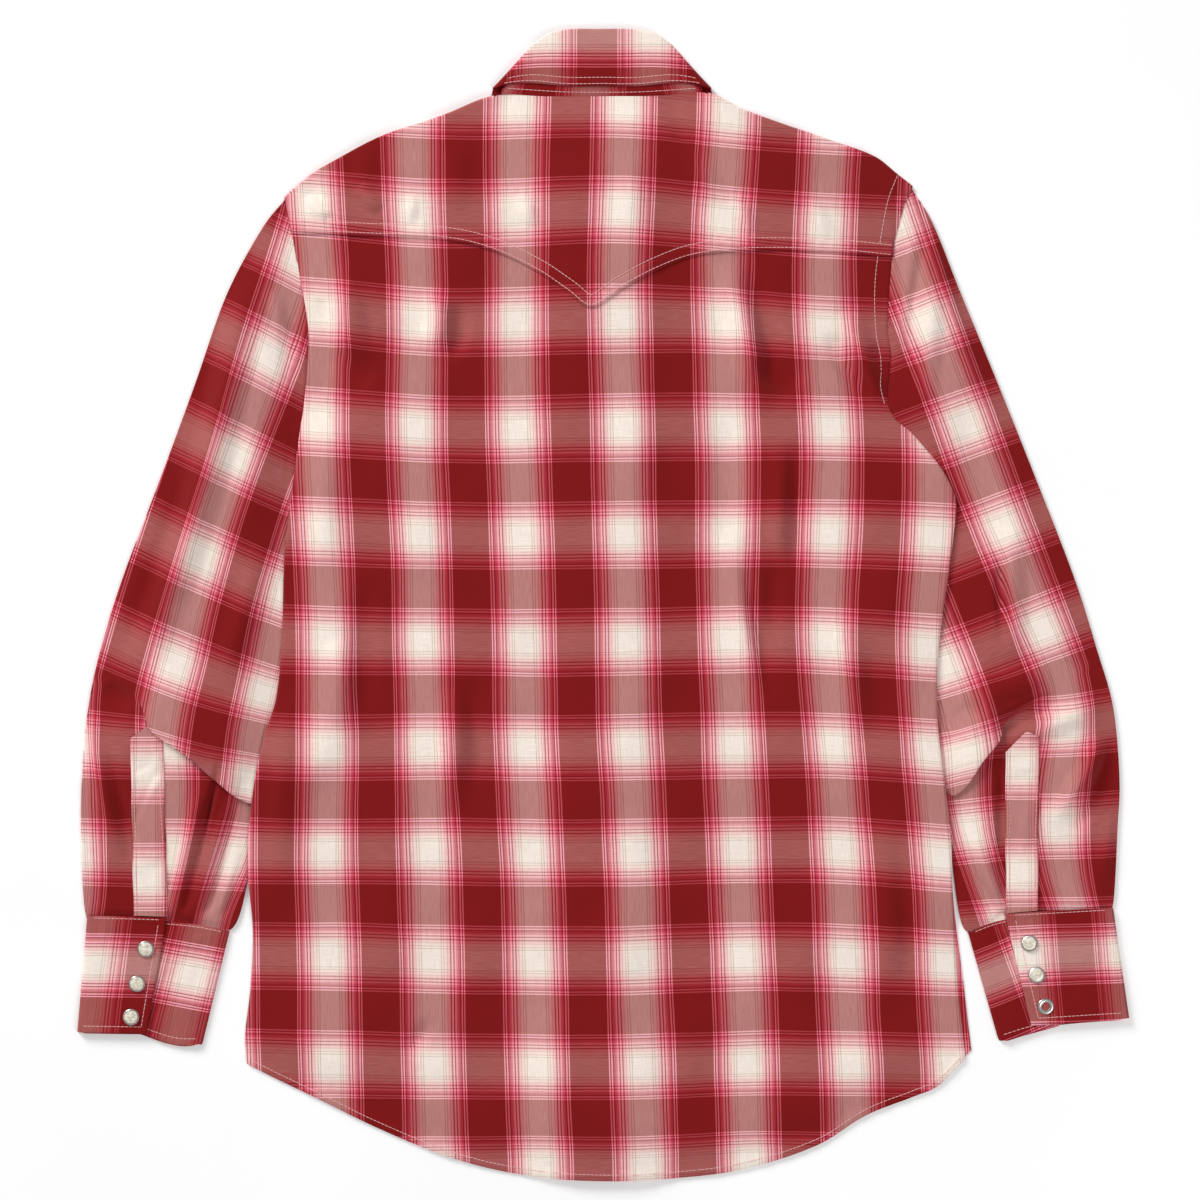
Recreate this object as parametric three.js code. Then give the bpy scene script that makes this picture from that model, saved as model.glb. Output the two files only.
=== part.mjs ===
// A long-sleeved western snap shirt, laid flat with its back up, its arms at its sides.
// Millimetres, +Z up. The front lies on z = 0, +X is the wearer's right and +Y the collar.
import * as THREE from 'three';

// Driving sizes
const CLOTH = 1.0;               // wall of every cloth piece
const GAP = 0.3;                 // air between two pieces
const LAYER = CLOTH + GAP;       // rise from one lying layer to the next
const FLOOR_LEVEL = CLOTH / 2;   // middle of a wall that lies on the surface
const PLACKET_HALF = 16;         // half the width of the front placket
const SNAP_RADIUS = 6.2;         // pearl snap, over its metal rim
const SNAP_HEIGHT = 2.0;         // how far a snap stands out of the cloth
const PEARL_RADIUS = 4.9;
const BARE_RING_RADIUS = 5.8;    // the snap that has lost its pearl
const BARE_RING_HOLE = 2.8;
const BARE_RING_HEIGHT = 1.3;
const FRONT_SNAP_STEP = 88;      // spacing of the snaps down the front
const FRONT_SNAP_COUNT = 7;
const TOP_FRONT_SNAP = 268;      // height on the shirt of the first front snap
const RIGHT_FRONT_LAP = 3;       // the right front ends this far inside the placket's edge
const YOKE_LAP = 10;             // the yoke lies this far over the back panel
const NECKLINE_BEND = 44;        // half the width of the neckline where it turns upwards
const SHOULDER_STRIP = [20, 30]; // what the yoke shows in front, at the armhole and at the neck
const SLEEVE_REST = 2.7;         // height of a sleeve pressed flat under the body
const MARGIN_RISE = SLEEVE_REST + GAP;
const MARGIN_FALL = [18, 56];    // the body comes down to the surface this far inside a sleeve
const SLEEVE_BULGE = 4.5;        // how far the free sleeve rises over its pressed height
const FOLD_LIFT = 6.5;           // height of the elbow fold over the lower sleeve
const FRONT_HEM_SHORT = 6;       // the front's hem lies this far inside the back's
const FRONT_PEEK = 5;            // the front shows this far past the back, lower right
const COLLAR_LEVELS = { leafFront: 0.5, standFront: 2.1, standBack: 4.4, leafBack: 6.0 };
const COLLAR_ROLL = 0.8;         // radius of the collar's fold along its top
const COLLAR_STAND_SHORT = 2.4;  // the stand ends this far inside the collar's fold
const NECK_RISE = 1.3;           // how far the collar's wings lift the shirt round the neck
const NECK_CENTRE_Y = 335;
const NECK_REACH = [115, 100];   // half the width and half the length of that lifted place
const PLACKET_FALL = 62;         // the body is back down this far from the placket's middle
const UNDERARM = { left: 98, right: 74 };      // height on the shirt of each underarm
const MARGIN_START = [-245, -212];             // the body starts to rise over a sleeve here
const YOKE_SIDE = { left: 271.7, right: 254 }; // where the yoke's edge meets each armhole
const HEM_SIDE = { left: -335, right: -331 };  // where the hem meets each side seam
const SHOULDER_END = { left: -232.2, right: 227.2 };
const NECK_SIDE = { left: -78.8, right: 77 };
const PEEK_RANGE = [-190, -300];               // the front starts and is fully out past the back
const ARMHOLE_CLEAR = 1.0;       // the sleeve starts this far outside the body's edge
const PRESSED_RANGE = [-90, -215];             // from the elbow to the cuff
const CUFF_PRESS = 0.75;         // share of its bulge that a sleeve loses down to the cuff
const EDGE_FULLNESS = 0.8;       // how round a sleeve's side folds are, 1 is a half circle
const SLEEVE_PLACKET_LEVEL = 5.2;
const SLEEVE_PLACKET_RISE = 3.15;              // how much higher its top lies than its foot

const CLOTH_COLOUR = 0xb5484f;
const DARK_CLOTH_COLOUR = 0x9b2d33;
const PEARL_COLOUR = 0xefe9df;
const METAL_COLOUR = 0xc4c2bd;

// Outlines, read across or down the shirt
const table = (names, ...rows) => rows.map(
  (row) => Object.fromEntries(names.map((name, i) => [name, row[i]])));

const BODY_LEFT = table(['y', 'x'],
  [-335, -259.5], [-316, -260.9], [-281, -257.0], [-237, -255.1], [-188, -258.8],
  [-138, -254.8], [-98, -247.0], [-69, -238.0], [-25, -233.7], [38, -231.6],
  [91, -225.3], [128, -220.5], [168, -216.1], [200, -214.6], [240, -220.9], [298, -231.8]);
const BODY_RIGHT = table(['y', 'x'],
  [-331, 265.7], [-285, 260.6], [-213, 255.9], [-170, 254.8], [-131, 250.1], [-95, 245.6],
  [-62, 244.5], [-26, 246.2], [24, 253.2], [52, 256.7], [72, 258.8], [81, 257.4], [98, 248.9],
  [113, 237.8], [127, 225.5], [136, 214.5], [150, 209.0], [183, 211.5], [200, 209.2],
  [224, 209.9], [254, 212.4], [283, 216.3], [306, 227.4]);
const HEM = table(['x', 'y'],
  [-260, -335], [-237, -346.6], [-211, -359], [-160, -383.8], [-108, -404.5], [-56, -416.6],
  [-1, -420.3], [52, -418.8], [104, -412], [158, -394.3], [193, -372.8], [228, -359],
  [246, -351], [266, -331]);
const YOKE_EDGE = table(['x', 'y'],
  [-228, 271.7], [-184, 270.3], [-122, 267.4], [-97, 263.7], [-72, 255.7], [-46, 242.5],
  [-26, 228.7], [-8.2, 217], [15, 230.9], [40, 244.4], [66, 254.2], [102, 258.6],
  [166, 258.1], [214, 254]);
const SHOULDER = table(['x', 'y'],
  [-232.5, 297], [-229, 301.3], [-214, 313.9], [-197, 323.9], [-161, 342.6], [-117, 357.4],
  [-78.8, 372], [-40, 371.8], [0, 371.8], [40, 372.2], [77, 374.2], [102, 362.5],
  [124, 354.2], [166, 339.9], [200, 327.3], [216, 314.8], [227.4, 306]);
const FRONT_NECK = table(['x', 'y'],
  [-68, 343], [-55, 322], [-40, 309], [-16, 300], [0, 298], [16, 300], [40, 309],
  [55, 322], [68, 344]);

// Sleeves: outer and inner edge of each ring from the armhole down, and the ring's outward bow
const SLEEVE_RINGS = ['outerX', 'outerY', 'innerX', 'innerY', 'bow'];
const SLEEVE_LEFT = table(SLEEVE_RINGS,
  [-232.6, 293.6, -224.9, 98, 0], [-247.5, 273.2, -225.4, 80, 6], [-274.5, 226.5, -215, 50, 5],
  [-297.8, 160.8, -202, 22, 2], [-323.4, 91.4, -196.5, -12, 0], [-349.7, 22.1, -200, -46, 0],
  [-366, -30, -209, -75, 0], [-375.9, -76.5, -224, -106, 0], [-380.3, -128, -242, -138, 0],
  [-380.6, -171.4, -257, -180, 0], [-375.2, -226.4, -273.5, -237.2, 0]);
const SLEEVE_RIGHT = table(SLEEVE_RINGS,
  [228.2, 302.6, 259.4, 74, 0], [241.5, 278.3, 257.5, 50, 10], [262.1, 227.9, 245, 28, 9],
  [288.3, 164.4, 230, 2, 4], [317.6, 91.4, 219.5, -25, 0], [345.3, 19.9, 217, -52, 0],
  [362, -33, 222, -77, 0], [373.8, -75, 232.5, -105, 0], [378.4, -128, 246.5, -134, 0],
  [376.2, -169, 255.5, -172, 0], [371.6, -220.4, 268.3, -237.2, 0]);

// The elbow fold: where its lip runs, as the ring number at each share of the sleeve's width
const FOLD_LIP_LEFT = table(['across', 'ring'],
  [0, 6.7], [0.22, 7.05], [0.45, 7.3], [0.7, 7.75], [0.88, 8.05], [1, 8.1]);
const FOLD_LIP_RIGHT = table(['across', 'ring'],
  [0, 6.6], [0.3, 6.95], [0.5, 7.15], [0.7, 7.5], [0.88, 8.1], [1, 8.4]);
const SLEEVE_END_LEFT = table(['x', 'y'],
  [-375.6, -226.8], [-347, -227.4], [-318, -228.3], [-300, -232], [-273, -237.4]);
const SLEEVE_END_RIGHT = table(['x', 'y'],
  [267.9, -238], [284, -232], [294.7, -225.4], [331, -223.2], [371.9, -220.8]);
const FOLD_DEPTH = 0.3;          // how far the fold doubles back, in rings
const FOLD_MARGIN = 0.34;        // half the width of the folded stretch, in rings

// Long ridges: a path of three places on the shirt, a height and a half width
const RIDGE = ['x0', 'y0', 'x1', 'y1', 'x2', 'y2', 'height', 'width'];
const SLEEVE_RIDGES = table(RIDGE,
  [-262, 235, -276, 105, -340, -55, 3.2, 17],
  [-372, -85, -358, -150, -352, -205, 1.6, 14],
  [225, 210, 226, 190, 224, 150, 1.2, 14],
  [285, 60, 300, 10, 300, -45, 2.2, 17],
  [366, -100, 345, -140, 322, -178, 2.0, 14]);
const BODY_RIDGES = table(RIDGE,
  [-188, 250, -187, 205, -178, 165, 2.2, 18],
  [90, 250, 106, 205, 116, 140, 2.4, 18],
  [178, 215, 196, 180, 210, 130, 2.2, 18],
  [97, 30, 102, -20, 96, -75, 1.4, 20]);

const BODY_SIDE_COLUMNS = 8;
const NECK_COLUMN = 6;           // this column of the body ends at the side of the neck
const BODY_ROWS = [0, 0.05, 0.1, 0.15, 0.18, 0.2, 0.22, 0.245, 0.28, 0.32, 0.37, 0.43, 0.5,
  0.57, 0.64, 0.71, 0.78, 0.86, 0.93, 1];
const YOKE_ROWS = 5;
const FRONT_TOP_ROWS = 4;
const SLEEVE_SHARES = [0.012, 0.1, 0.22, 0.34, 0.4685, 0.596, 0.7244, 0.7756, 0.8395, 0.929,
  0.988];
const SLEEVE_UPPER_ROWS = 14;
const SLEEVE_FOLD_ROWS = 8;
const SLEEVE_LOWER_ROWS = 5;
const FOLD_ARC_STEPS = 3;

// Small helpers
const mix = (a, b, t) => a + (b - a) * t;
const mixPoint = (a, b, t) => a.map((value, i) => mix(value, b[i], t));
function smooth(from, to, value) {
  const t = Math.min(1, Math.max(0, (value - from) / (to - from)));
  return t * t * (3 - 2 * t);
}

// A smooth curve through a table's rows: the value column as a function of the key column
function curveOf(rows, key, value) {
  const slopeAt = (i) => {
    const before = rows[Math.max(0, i - 1)];
    const after = rows[Math.min(rows.length - 1, i + 1)];
    return (after[value] - before[value]) / (after[key] - before[key]);
  };
  return (at) => {
    let i = rows.findIndex((row) => row[key] > at) - 1;
    if (at <= rows[0][key]) i = 0;
    if (i < 0) i = rows.length - 2;
    const [a, b] = [rows[i], rows[i + 1]];
    const span = b[key] - a[key];
    const t = (at - a[key]) / span;
    if (t < 0 || t > 1) return t < 0 ? a[value] : b[value];
    const [t2, t3] = [t * t, t * t * t];
    return (2 * t3 - 3 * t2 + 1) * a[value] + (t3 - 2 * t2 + t) * slopeAt(i) * span
      + (3 * t2 - 2 * t3) * b[value] + (t3 - t2) * slopeAt(i + 1) * span;
  };
}

// A column of a table as a smooth function of the row's number
const byNumber = (rows, value) => curveOf(
  rows.map((row, number) => ({ number, [value]: row[value] })), 'number', value);

// A sheet of cloth: points joined by quads, thickened into one closed wall
class Sheet {
  constructor() {
    this.points = [];
    this.quads = [];
    this.found = new Map();
  }

  index(point) {
    const name = point.map((value) => Math.round(value * 1000)).join(' ');
    if (!this.found.has(name)) {
      this.found.set(name, this.points.length);
      this.points.push(point);
    }
    return this.found.get(name);
  }

  // at(row, column) gives a point. Columns run to the right of the rows, seen from outside.
  grid(rows, columns, at) {
    const numbers = [];
    for (let r = 0; r <= rows; r += 1) {
      numbers.push([]);
      for (let c = 0; c <= columns; c += 1) numbers[r].push(this.index(at(r, c)));
    }
    for (let r = 0; r < rows; r += 1) {
      for (let c = 0; c < columns; c += 1) {
        this.quads.push([numbers[r][c], numbers[r][c + 1], numbers[r + 1][c + 1],
          numbers[r + 1][c]]);
      }
    }
    return this;
  }

  triangles() {
    const kept = [];
    for (const [a, b, c, d] of this.quads) {
      for (const triangle of [[a, b, c], [a, c, d]]) {
        if (new Set(triangle).size === 3) kept.push(triangle);
      }
    }
    return kept;
  }

  wall(thickness) {
    const triangles = this.triangles();
    const normals = this.points.map(() => new THREE.Vector3());
    const [ab, ac] = [new THREE.Vector3(), new THREE.Vector3()];
    const place = this.points.map((point) => new THREE.Vector3(...point));
    for (const [a, b, c] of triangles) {
      ab.subVectors(place[b], place[a]);
      ac.subVectors(place[c], place[a]);
      const across = new THREE.Vector3().crossVectors(ab, ac);
      across.multiplyScalar(1 / Math.sqrt(across.length()));
      for (const corner of [a, b, c]) normals[corner].add(across);
    }
    const positions = [];
    for (const side of [1, -1]) {
      place.forEach((point, i) => {
        const moved = point.clone().addScaledVector(
          normals[i].clone().normalize(), side * thickness / 2);
        positions.push(moved.x, moved.y, moved.z);
      });
    }
    const count = place.length;
    const faces = triangles.flatMap(([a, b, c]) => [[a, b, c], [c + count, b + count, a + count]]);
    const edges = new Set(triangles.flatMap(([a, b, c]) => [`${a} ${b}`, `${b} ${c}`, `${c} ${a}`]));
    for (const edge of edges) {
      const [a, b] = edge.split(' ').map(Number);
      if (edges.has(`${b} ${a}`)) continue;
      faces.push([a, a + count, b + count], [a, b + count, b]);
    }
    const geometry = new THREE.BufferGeometry();
    geometry.setAttribute('position', new THREE.Float32BufferAttribute(positions, 3));
    geometry.setIndex(faces.flat());
    geometry.computeVertexNormals();
    return geometry;
  }
}

// Height of a long soft ridge at a place: highest along its path, none past its width
function ridgeHeight(ridges, x, y) {
  const steps = 12;
  let height = 0;
  for (const ridge of ridges) {
    let nearest = Infinity;
    let strength = 0;
    for (let i = 0; i <= steps; i += 1) {
      const t = i / steps;
      const [a, b, c] = [(1 - t) * (1 - t), 2 * t * (1 - t), t * t];
      const away = Math.hypot(x - a * ridge.x0 - b * ridge.x1 - c * ridge.x2,
        y - a * ridge.y0 - b * ridge.y1 - c * ridge.y2);
      if (away < nearest) {
        nearest = away;
        strength = Math.sin(Math.PI * mix(0.12, 0.88, t));
      }
    }
    height += ridge.height * strength * (1 - smooth(0, ridge.width, nearest));
  }
  return height;
}

// The body's outline
const bodyLeft = curveOf(BODY_LEFT, 'y', 'x');
const bodyRight = curveOf(BODY_RIGHT, 'y', 'x');
const hemAt = curveOf(HEM, 'x', 'y');
const yokeEdgeAt = curveOf(YOKE_EDGE, 'x', 'y');
const shoulderAt = curveOf(SHOULDER, 'x', 'y');
const frontNeckAt = curveOf(FRONT_NECK, 'x', 'y');

// Where the hidden inner edge of each sleeve runs under the body
function innerEdgeOf(rings) {
  const rows = rings.map(({ innerX, innerY }) => ({ innerX, innerY }));
  return curveOf(rows.reverse(), 'innerY', 'innerX');
}
const innerLeft = innerEdgeOf(SLEEVE_LEFT);
const innerRight = innerEdgeOf(SLEEVE_RIGHT);

// What lifts the body off the surface: the sleeves at its sides, the snaps, the collar's wings
function marginRise(inside, y, underarm) {
  const along = smooth(...MARGIN_START, y) * (1 - smooth(underarm + 20, underarm + 46, y));
  return MARGIN_RISE * along * (1 - smooth(...MARGIN_FALL, inside));
}
const nearPlacket = (x) => 1 - smooth(PLACKET_HALF + 2, PLACKET_FALL, Math.abs(x));
function bodyRise(x, y) {
  const left = marginRise(x - innerLeft(Math.min(y, UNDERARM.left)), y, UNDERARM.left);
  const right = marginRise(innerRight(Math.min(y, UNDERARM.right)) - x, y, UNDERARM.right);
  const placket = (SNAP_HEIGHT + GAP + LAYER) * nearPlacket(x);
  const fromNeck = Math.hypot(x / NECK_REACH[0], (y - NECK_CENTRE_Y) / NECK_REACH[1]);
  const neck = NECK_RISE * (1 - smooth(1, 1.6, fromNeck));
  const inside = Math.min(x - bodyLeft(y), bodyRight(y) - x, 40) / 40;
  const ridges = ridgeHeight(BODY_RIDGES, x, y) * Math.max(0, inside);
  return left + right + placket + neck + ridges;
}

// The body's columns: number 0 at its left edge, then the placket's edges, then its right edge
const BODY_COLUMNS = BODY_SIDE_COLUMNS * 2 + 2;
function columnX(column, left, right) {
  if (column <= BODY_SIDE_COLUMNS) {
    return mix(left, -PLACKET_HALF, column / BODY_SIDE_COLUMNS);
  }
  if (column >= BODY_SIDE_COLUMNS + 2) {
    return mix(PLACKET_HALF, right, (column - BODY_SIDE_COLUMNS - 2) / BODY_SIDE_COLUMNS);
  }
  return 0;
}

// A place on the body below the yoke: row 0 on the yoke's edge, row 1 on the hem
function bodyPlace(row, column, hemShort = 0, rightPeek = 0) {
  const topX = columnX(column, bodyLeft(YOKE_SIDE.left), bodyRight(YOKE_SIDE.right));
  const hemX = columnX(column, bodyLeft(HEM_SIDE.left), bodyRight(HEM_SIDE.right));
  const y = mix(yokeEdgeAt(topX), hemAt(hemX) + hemShort, row);
  const peek = rightPeek * smooth(...PEEK_RANGE, y);
  return [columnX(column, bodyLeft(y), bodyRight(y) + peek), y];
}

// The yoke's upper line: the shoulders, with the neck between them
function shoulderPlace(column) {
  const side = NECK_COLUMN;
  const last = BODY_COLUMNS - NECK_COLUMN;
  let x = 0;
  const middle = BODY_SIDE_COLUMNS + 1;
  if (column <= side) x = mix(SHOULDER_END.left, NECK_SIDE.left, column / side);
  else if (column >= last) x = mix(NECK_SIDE.right, SHOULDER_END.right, (column - last) / side);
  else if (column < middle) x = mix(NECK_SIDE.left, 0, (column - side) / (middle - side));
  else x = mix(0, NECK_SIDE.right, (column - middle) / (last - middle));
  return [x, shoulderAt(x)];
}

// The way out of the shirt, square to the shoulder line
function shoulderOut(column) {
  const last = BODY_COLUMNS - NECK_COLUMN;
  const left = column <= NECK_COLUMN;
  const from = shoulderPlace(left ? Math.max(0, column - 1) : Math.max(last, column - 1));
  const to = shoulderPlace(left ? Math.min(NECK_COLUMN, column + 1)
    : Math.min(BODY_COLUMNS, column + 1));
  const along = [to[0] - from[0], to[1] - from[1]];
  const length = Math.hypot(...along);
  return [-along[1] / length, along[0] / length];
}

// The yoke's front edge on a shoulder, or the front's neckline
function frontTopPlace(column) {
  const last = BODY_COLUMNS - NECK_COLUMN;
  if (column <= NECK_COLUMN || column >= last) {
    const share = column <= NECK_COLUMN ? column / NECK_COLUMN
      : (BODY_COLUMNS - column) / NECK_COLUMN;
    const out = shoulderOut(column);
    const depth = mix(...SHOULDER_STRIP, share) + GAP;
    const [x, y] = shoulderPlace(column);
    return [x - out[0] * depth, y - out[1] * depth];
  }
  const centre = BODY_SIDE_COLUMNS + 1;
  const x = Math.abs(column - centre) > 1 ? Math.sign(column - centre) * NECKLINE_BEND
    : (column - centre) * PLACKET_HALF;
  return [x, frontNeckAt(x)];
}

const lift = ([x, y], level) => [x, y, bodyRise(x, y) + level];

// Back panel, from under the yoke to the hem
function backPanel() {
  const level = FLOOR_LEVEL + LAYER;
  return new Sheet().grid(BODY_ROWS.length, BODY_COLUMNS, (r, c) => {
    if (r === BODY_ROWS.length) {
      const top = bodyPlace(0, c);
      return lift([top[0], top[1] + YOKE_LAP], level);
    }
    return lift(bodyPlace(BODY_ROWS[BODY_ROWS.length - 1 - r], c), level);
  }).wall(CLOTH);
}

// Yoke: over the back, round the shoulders and down to the shoulder seams in front
function yoke() {
  const backLevel = FLOOR_LEVEL + 2 * LAYER;
  const radius = LAYER;
  const sheet = new Sheet();
  const backPlace = (r, c) => {
    const edge = bodyPlace(0, c);
    const top = shoulderPlace(c);
    const neck = c > NECK_COLUMN && c < BODY_COLUMNS - NECK_COLUMN;
    const out = shoulderOut(c);
    const end = neck ? [top[0], top[1] - GAP]
      : [top[0] - out[0] * radius, top[1] - out[1] * radius];
    const [x, y] = mixPoint(edge, end, r / YOKE_ROWS);
    if (c === 0) return lift([bodyLeft(y), y], backLevel);
    return lift([c === BODY_COLUMNS ? bodyRight(y) : x, y], backLevel);
  };
  sheet.grid(YOKE_ROWS, BODY_COLUMNS, backPlace);
  const round = [
    { inward: radius, level: backLevel }, { inward: radius * 0.3, level: backLevel - radius * 0.3 },
    { inward: 0, level: backLevel - radius },
    { inward: radius * 0.3, level: FLOOR_LEVEL + radius * 0.3 },
    { inward: radius, level: FLOOR_LEVEL }];
  for (const first of [0, BODY_COLUMNS - NECK_COLUMN]) {
    sheet.grid(round.length + 1, NECK_COLUMN, (r, c) => {
      const column = first + c;
      if (r === 0) return backPlace(YOKE_ROWS, column);
      const out = shoulderOut(column);
      const [x, y] = shoulderPlace(column);
      const share = first === 0 ? c / NECK_COLUMN : 1 - c / NECK_COLUMN;
      const depth = mix(...SHOULDER_STRIP, share);
      const strip = [{ inward: mix(radius, depth, 0.5), level: FLOOR_LEVEL },
        { inward: depth, level: FLOOR_LEVEL }];
      const { inward, level } = [...round.slice(1), ...strip][r - 1];
      const place = [x - out[0] * inward, y - out[1] * inward];
      const support = bodyRise(x, y);
      return [...place, support + level];
    });
  }
  return sheet.wall(CLOTH);
}

// One front, from the hem to the shoulder seam and the neckline
function frontPanel(side) {
  const left = side === 'left';
  const [from, to] = left ? [0, BODY_SIDE_COLUMNS] : [BODY_SIDE_COLUMNS, BODY_COLUMNS];
  const rows = BODY_ROWS.length - 1;
  return new Sheet().grid(rows + FRONT_TOP_ROWS, to - from, (r, c) => {
    const column = from + c;
    const place = r <= rows
      ? bodyPlace(BODY_ROWS[rows - r], column, FRONT_HEM_SHORT, FRONT_PEEK)
      : mixPoint(bodyPlace(0, column), frontTopPlace(column), (r - rows) / FRONT_TOP_ROWS);
    const rise = bodyRise(...place);
    const drop = left ? LAYER * nearPlacket(place[0]) : 0;
    if (column === BODY_SIDE_COLUMNS) place[0] += left ? -GAP : RIGHT_FRONT_LAP;
    return [...place, rise - drop + FLOOR_LEVEL];
  }).wall(CLOTH);
}

// The band down the front that holds the snaps
function placketLevel(y) {
  return bodyRise(0, y) - LAYER + FLOOR_LEVEL;
}
function frontPlacket() {
  const rows = BODY_ROWS.length - 1;
  const half = PLACKET_HALF - GAP / 2;
  return new Sheet().grid(rows + FRONT_TOP_ROWS, 2, (r, c) => {
    const x = (c - 1) * half;
    const column = BODY_SIDE_COLUMNS + c;
    const y = r <= rows ? bodyPlace(BODY_ROWS[rows - r], column, FRONT_HEM_SHORT)[1]
      : mix(bodyPlace(0, column)[1], frontNeckAt(x), (r - rows) / FRONT_TOP_ROWS);
    return [x, y, placketLevel(y)];
  }).wall(CLOTH);
}

// Collar: sections from the back of the neck round to the front, each from the neck seam over
// the roll line to the leaf's edge. turn 0 lies in back, 1 in front, between them the side fold.
const COLLAR_SECTION = ['neckX', 'neckY', 'rollX', 'rollY', 'edgeX', 'edgeY', 'turn'];
const COLLAR = table(COLLAR_SECTION,
  [0, 373.0, 0, 420.3, 0, 379.2, 0],
  [26, 373.2, 22, 420.2, 26, 379.2, 0],
  [50, 374.6, 38, 417.4, 51, 381.4, 0],
  [66, 375.8, 47, 411.5, 68, 380.5, 0],
  [71.8, 376.2, 50.8, 408.8, 76.2, 378.4, 0.12],
  [73.2, 376.4, 51.8, 407.6, 79.4, 377.4, 0.5],
  [71.8, 374.6, 50.4, 405.6, 80.0, 376.0, 0.93],
  [67.5, 365.5, 47.0, 398.0, 84.5, 356.0, 1],
  [61.0, 343.0, 40.5, 380.0, 86.0, 330.0, 1],
  [40.0, 315.0, 26.0, 352.0, 80.0, 298.0, 1],
  [3.0, 302.5, 5.0, 331.0, 62.0, 264.0, 1]);
const collarSection = Object.fromEntries(
  COLLAR_SECTION.map((name) => [name, byNumber(COLLAR, name)]));
const COLLAR_STATIONS = [0, 1, 2, 3, 3.5, 4, 4.5, 5, 5.5, 6, 7, 8, 9, 10];

function collarPlaces(station) {
  const number = Math.abs(station);
  const side = Math.sign(station) || 1;
  const get = (name) => collarSection[name](number);
  return {
    neck: [side * get('neckX'), get('neckY')],
    roll: [side * get('rollX'), get('rollY')],
    edge: [side * get('edgeX'), get('edgeY')],
    turn: Math.min(1, Math.max(0, get('turn'))),
  };
}
const collarStations = [...COLLAR_STATIONS.slice(1).reverse().map((s) => -s), ...COLLAR_STATIONS];

function collarStand() {
  return new Sheet().grid(2, collarStations.length - 1, (r, c) => {
    const { neck, roll, turn } = collarPlaces(collarStations[c]);
    const length = Math.hypot(roll[0] - neck[0], roll[1] - neck[1]);
    const [x, y] = mixPoint(neck, roll, r / 2 * (1 - COLLAR_STAND_SHORT / length));
    const inward = 2 * COLLAR_ROLL * Math.sin(Math.PI * turn) * Math.sign(x) * r / 2;
    return [x - inward, y, mix(COLLAR_LEVELS.standBack, COLLAR_LEVELS.standFront, turn)];
  }).wall(CLOTH);
}

function collarLeaf() {
  const radius = COLLAR_ROLL;
  const section = [
    { along: 0, back: 0, drop: 0 }, { along: 0.35, back: 0, drop: 0 },
    { along: 0.7, back: 0, drop: 0 }, { along: 1, back: radius, drop: 0 },
    { along: 1, back: radius * 0.3, drop: radius * 0.3 }, { along: 1, back: 0, drop: radius },
    { along: 1, back: radius * 0.3, drop: radius * 1.7 },
    { along: 1, back: radius, drop: radius * 2 }];
  return new Sheet().grid(section.length - 1, collarStations.length - 1, (r, c) => {
    const { edge, roll, turn } = collarPlaces(collarStations[c]);
    const { along, back, drop } = section[r];
    const length = Math.hypot(roll[0] - edge[0], roll[1] - edge[1]);
    const [x, y] = mixPoint(edge, roll, along - back / length);
    const outside = mix(COLLAR_LEVELS.leafBack, COLLAR_LEVELS.leafFront, turn);
    const angle = Math.PI * turn;
    return [x - Math.sign(x) * Math.sin(angle) * drop, y, outside - Math.cos(angle) * drop];
  }).wall(CLOTH);
}

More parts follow.
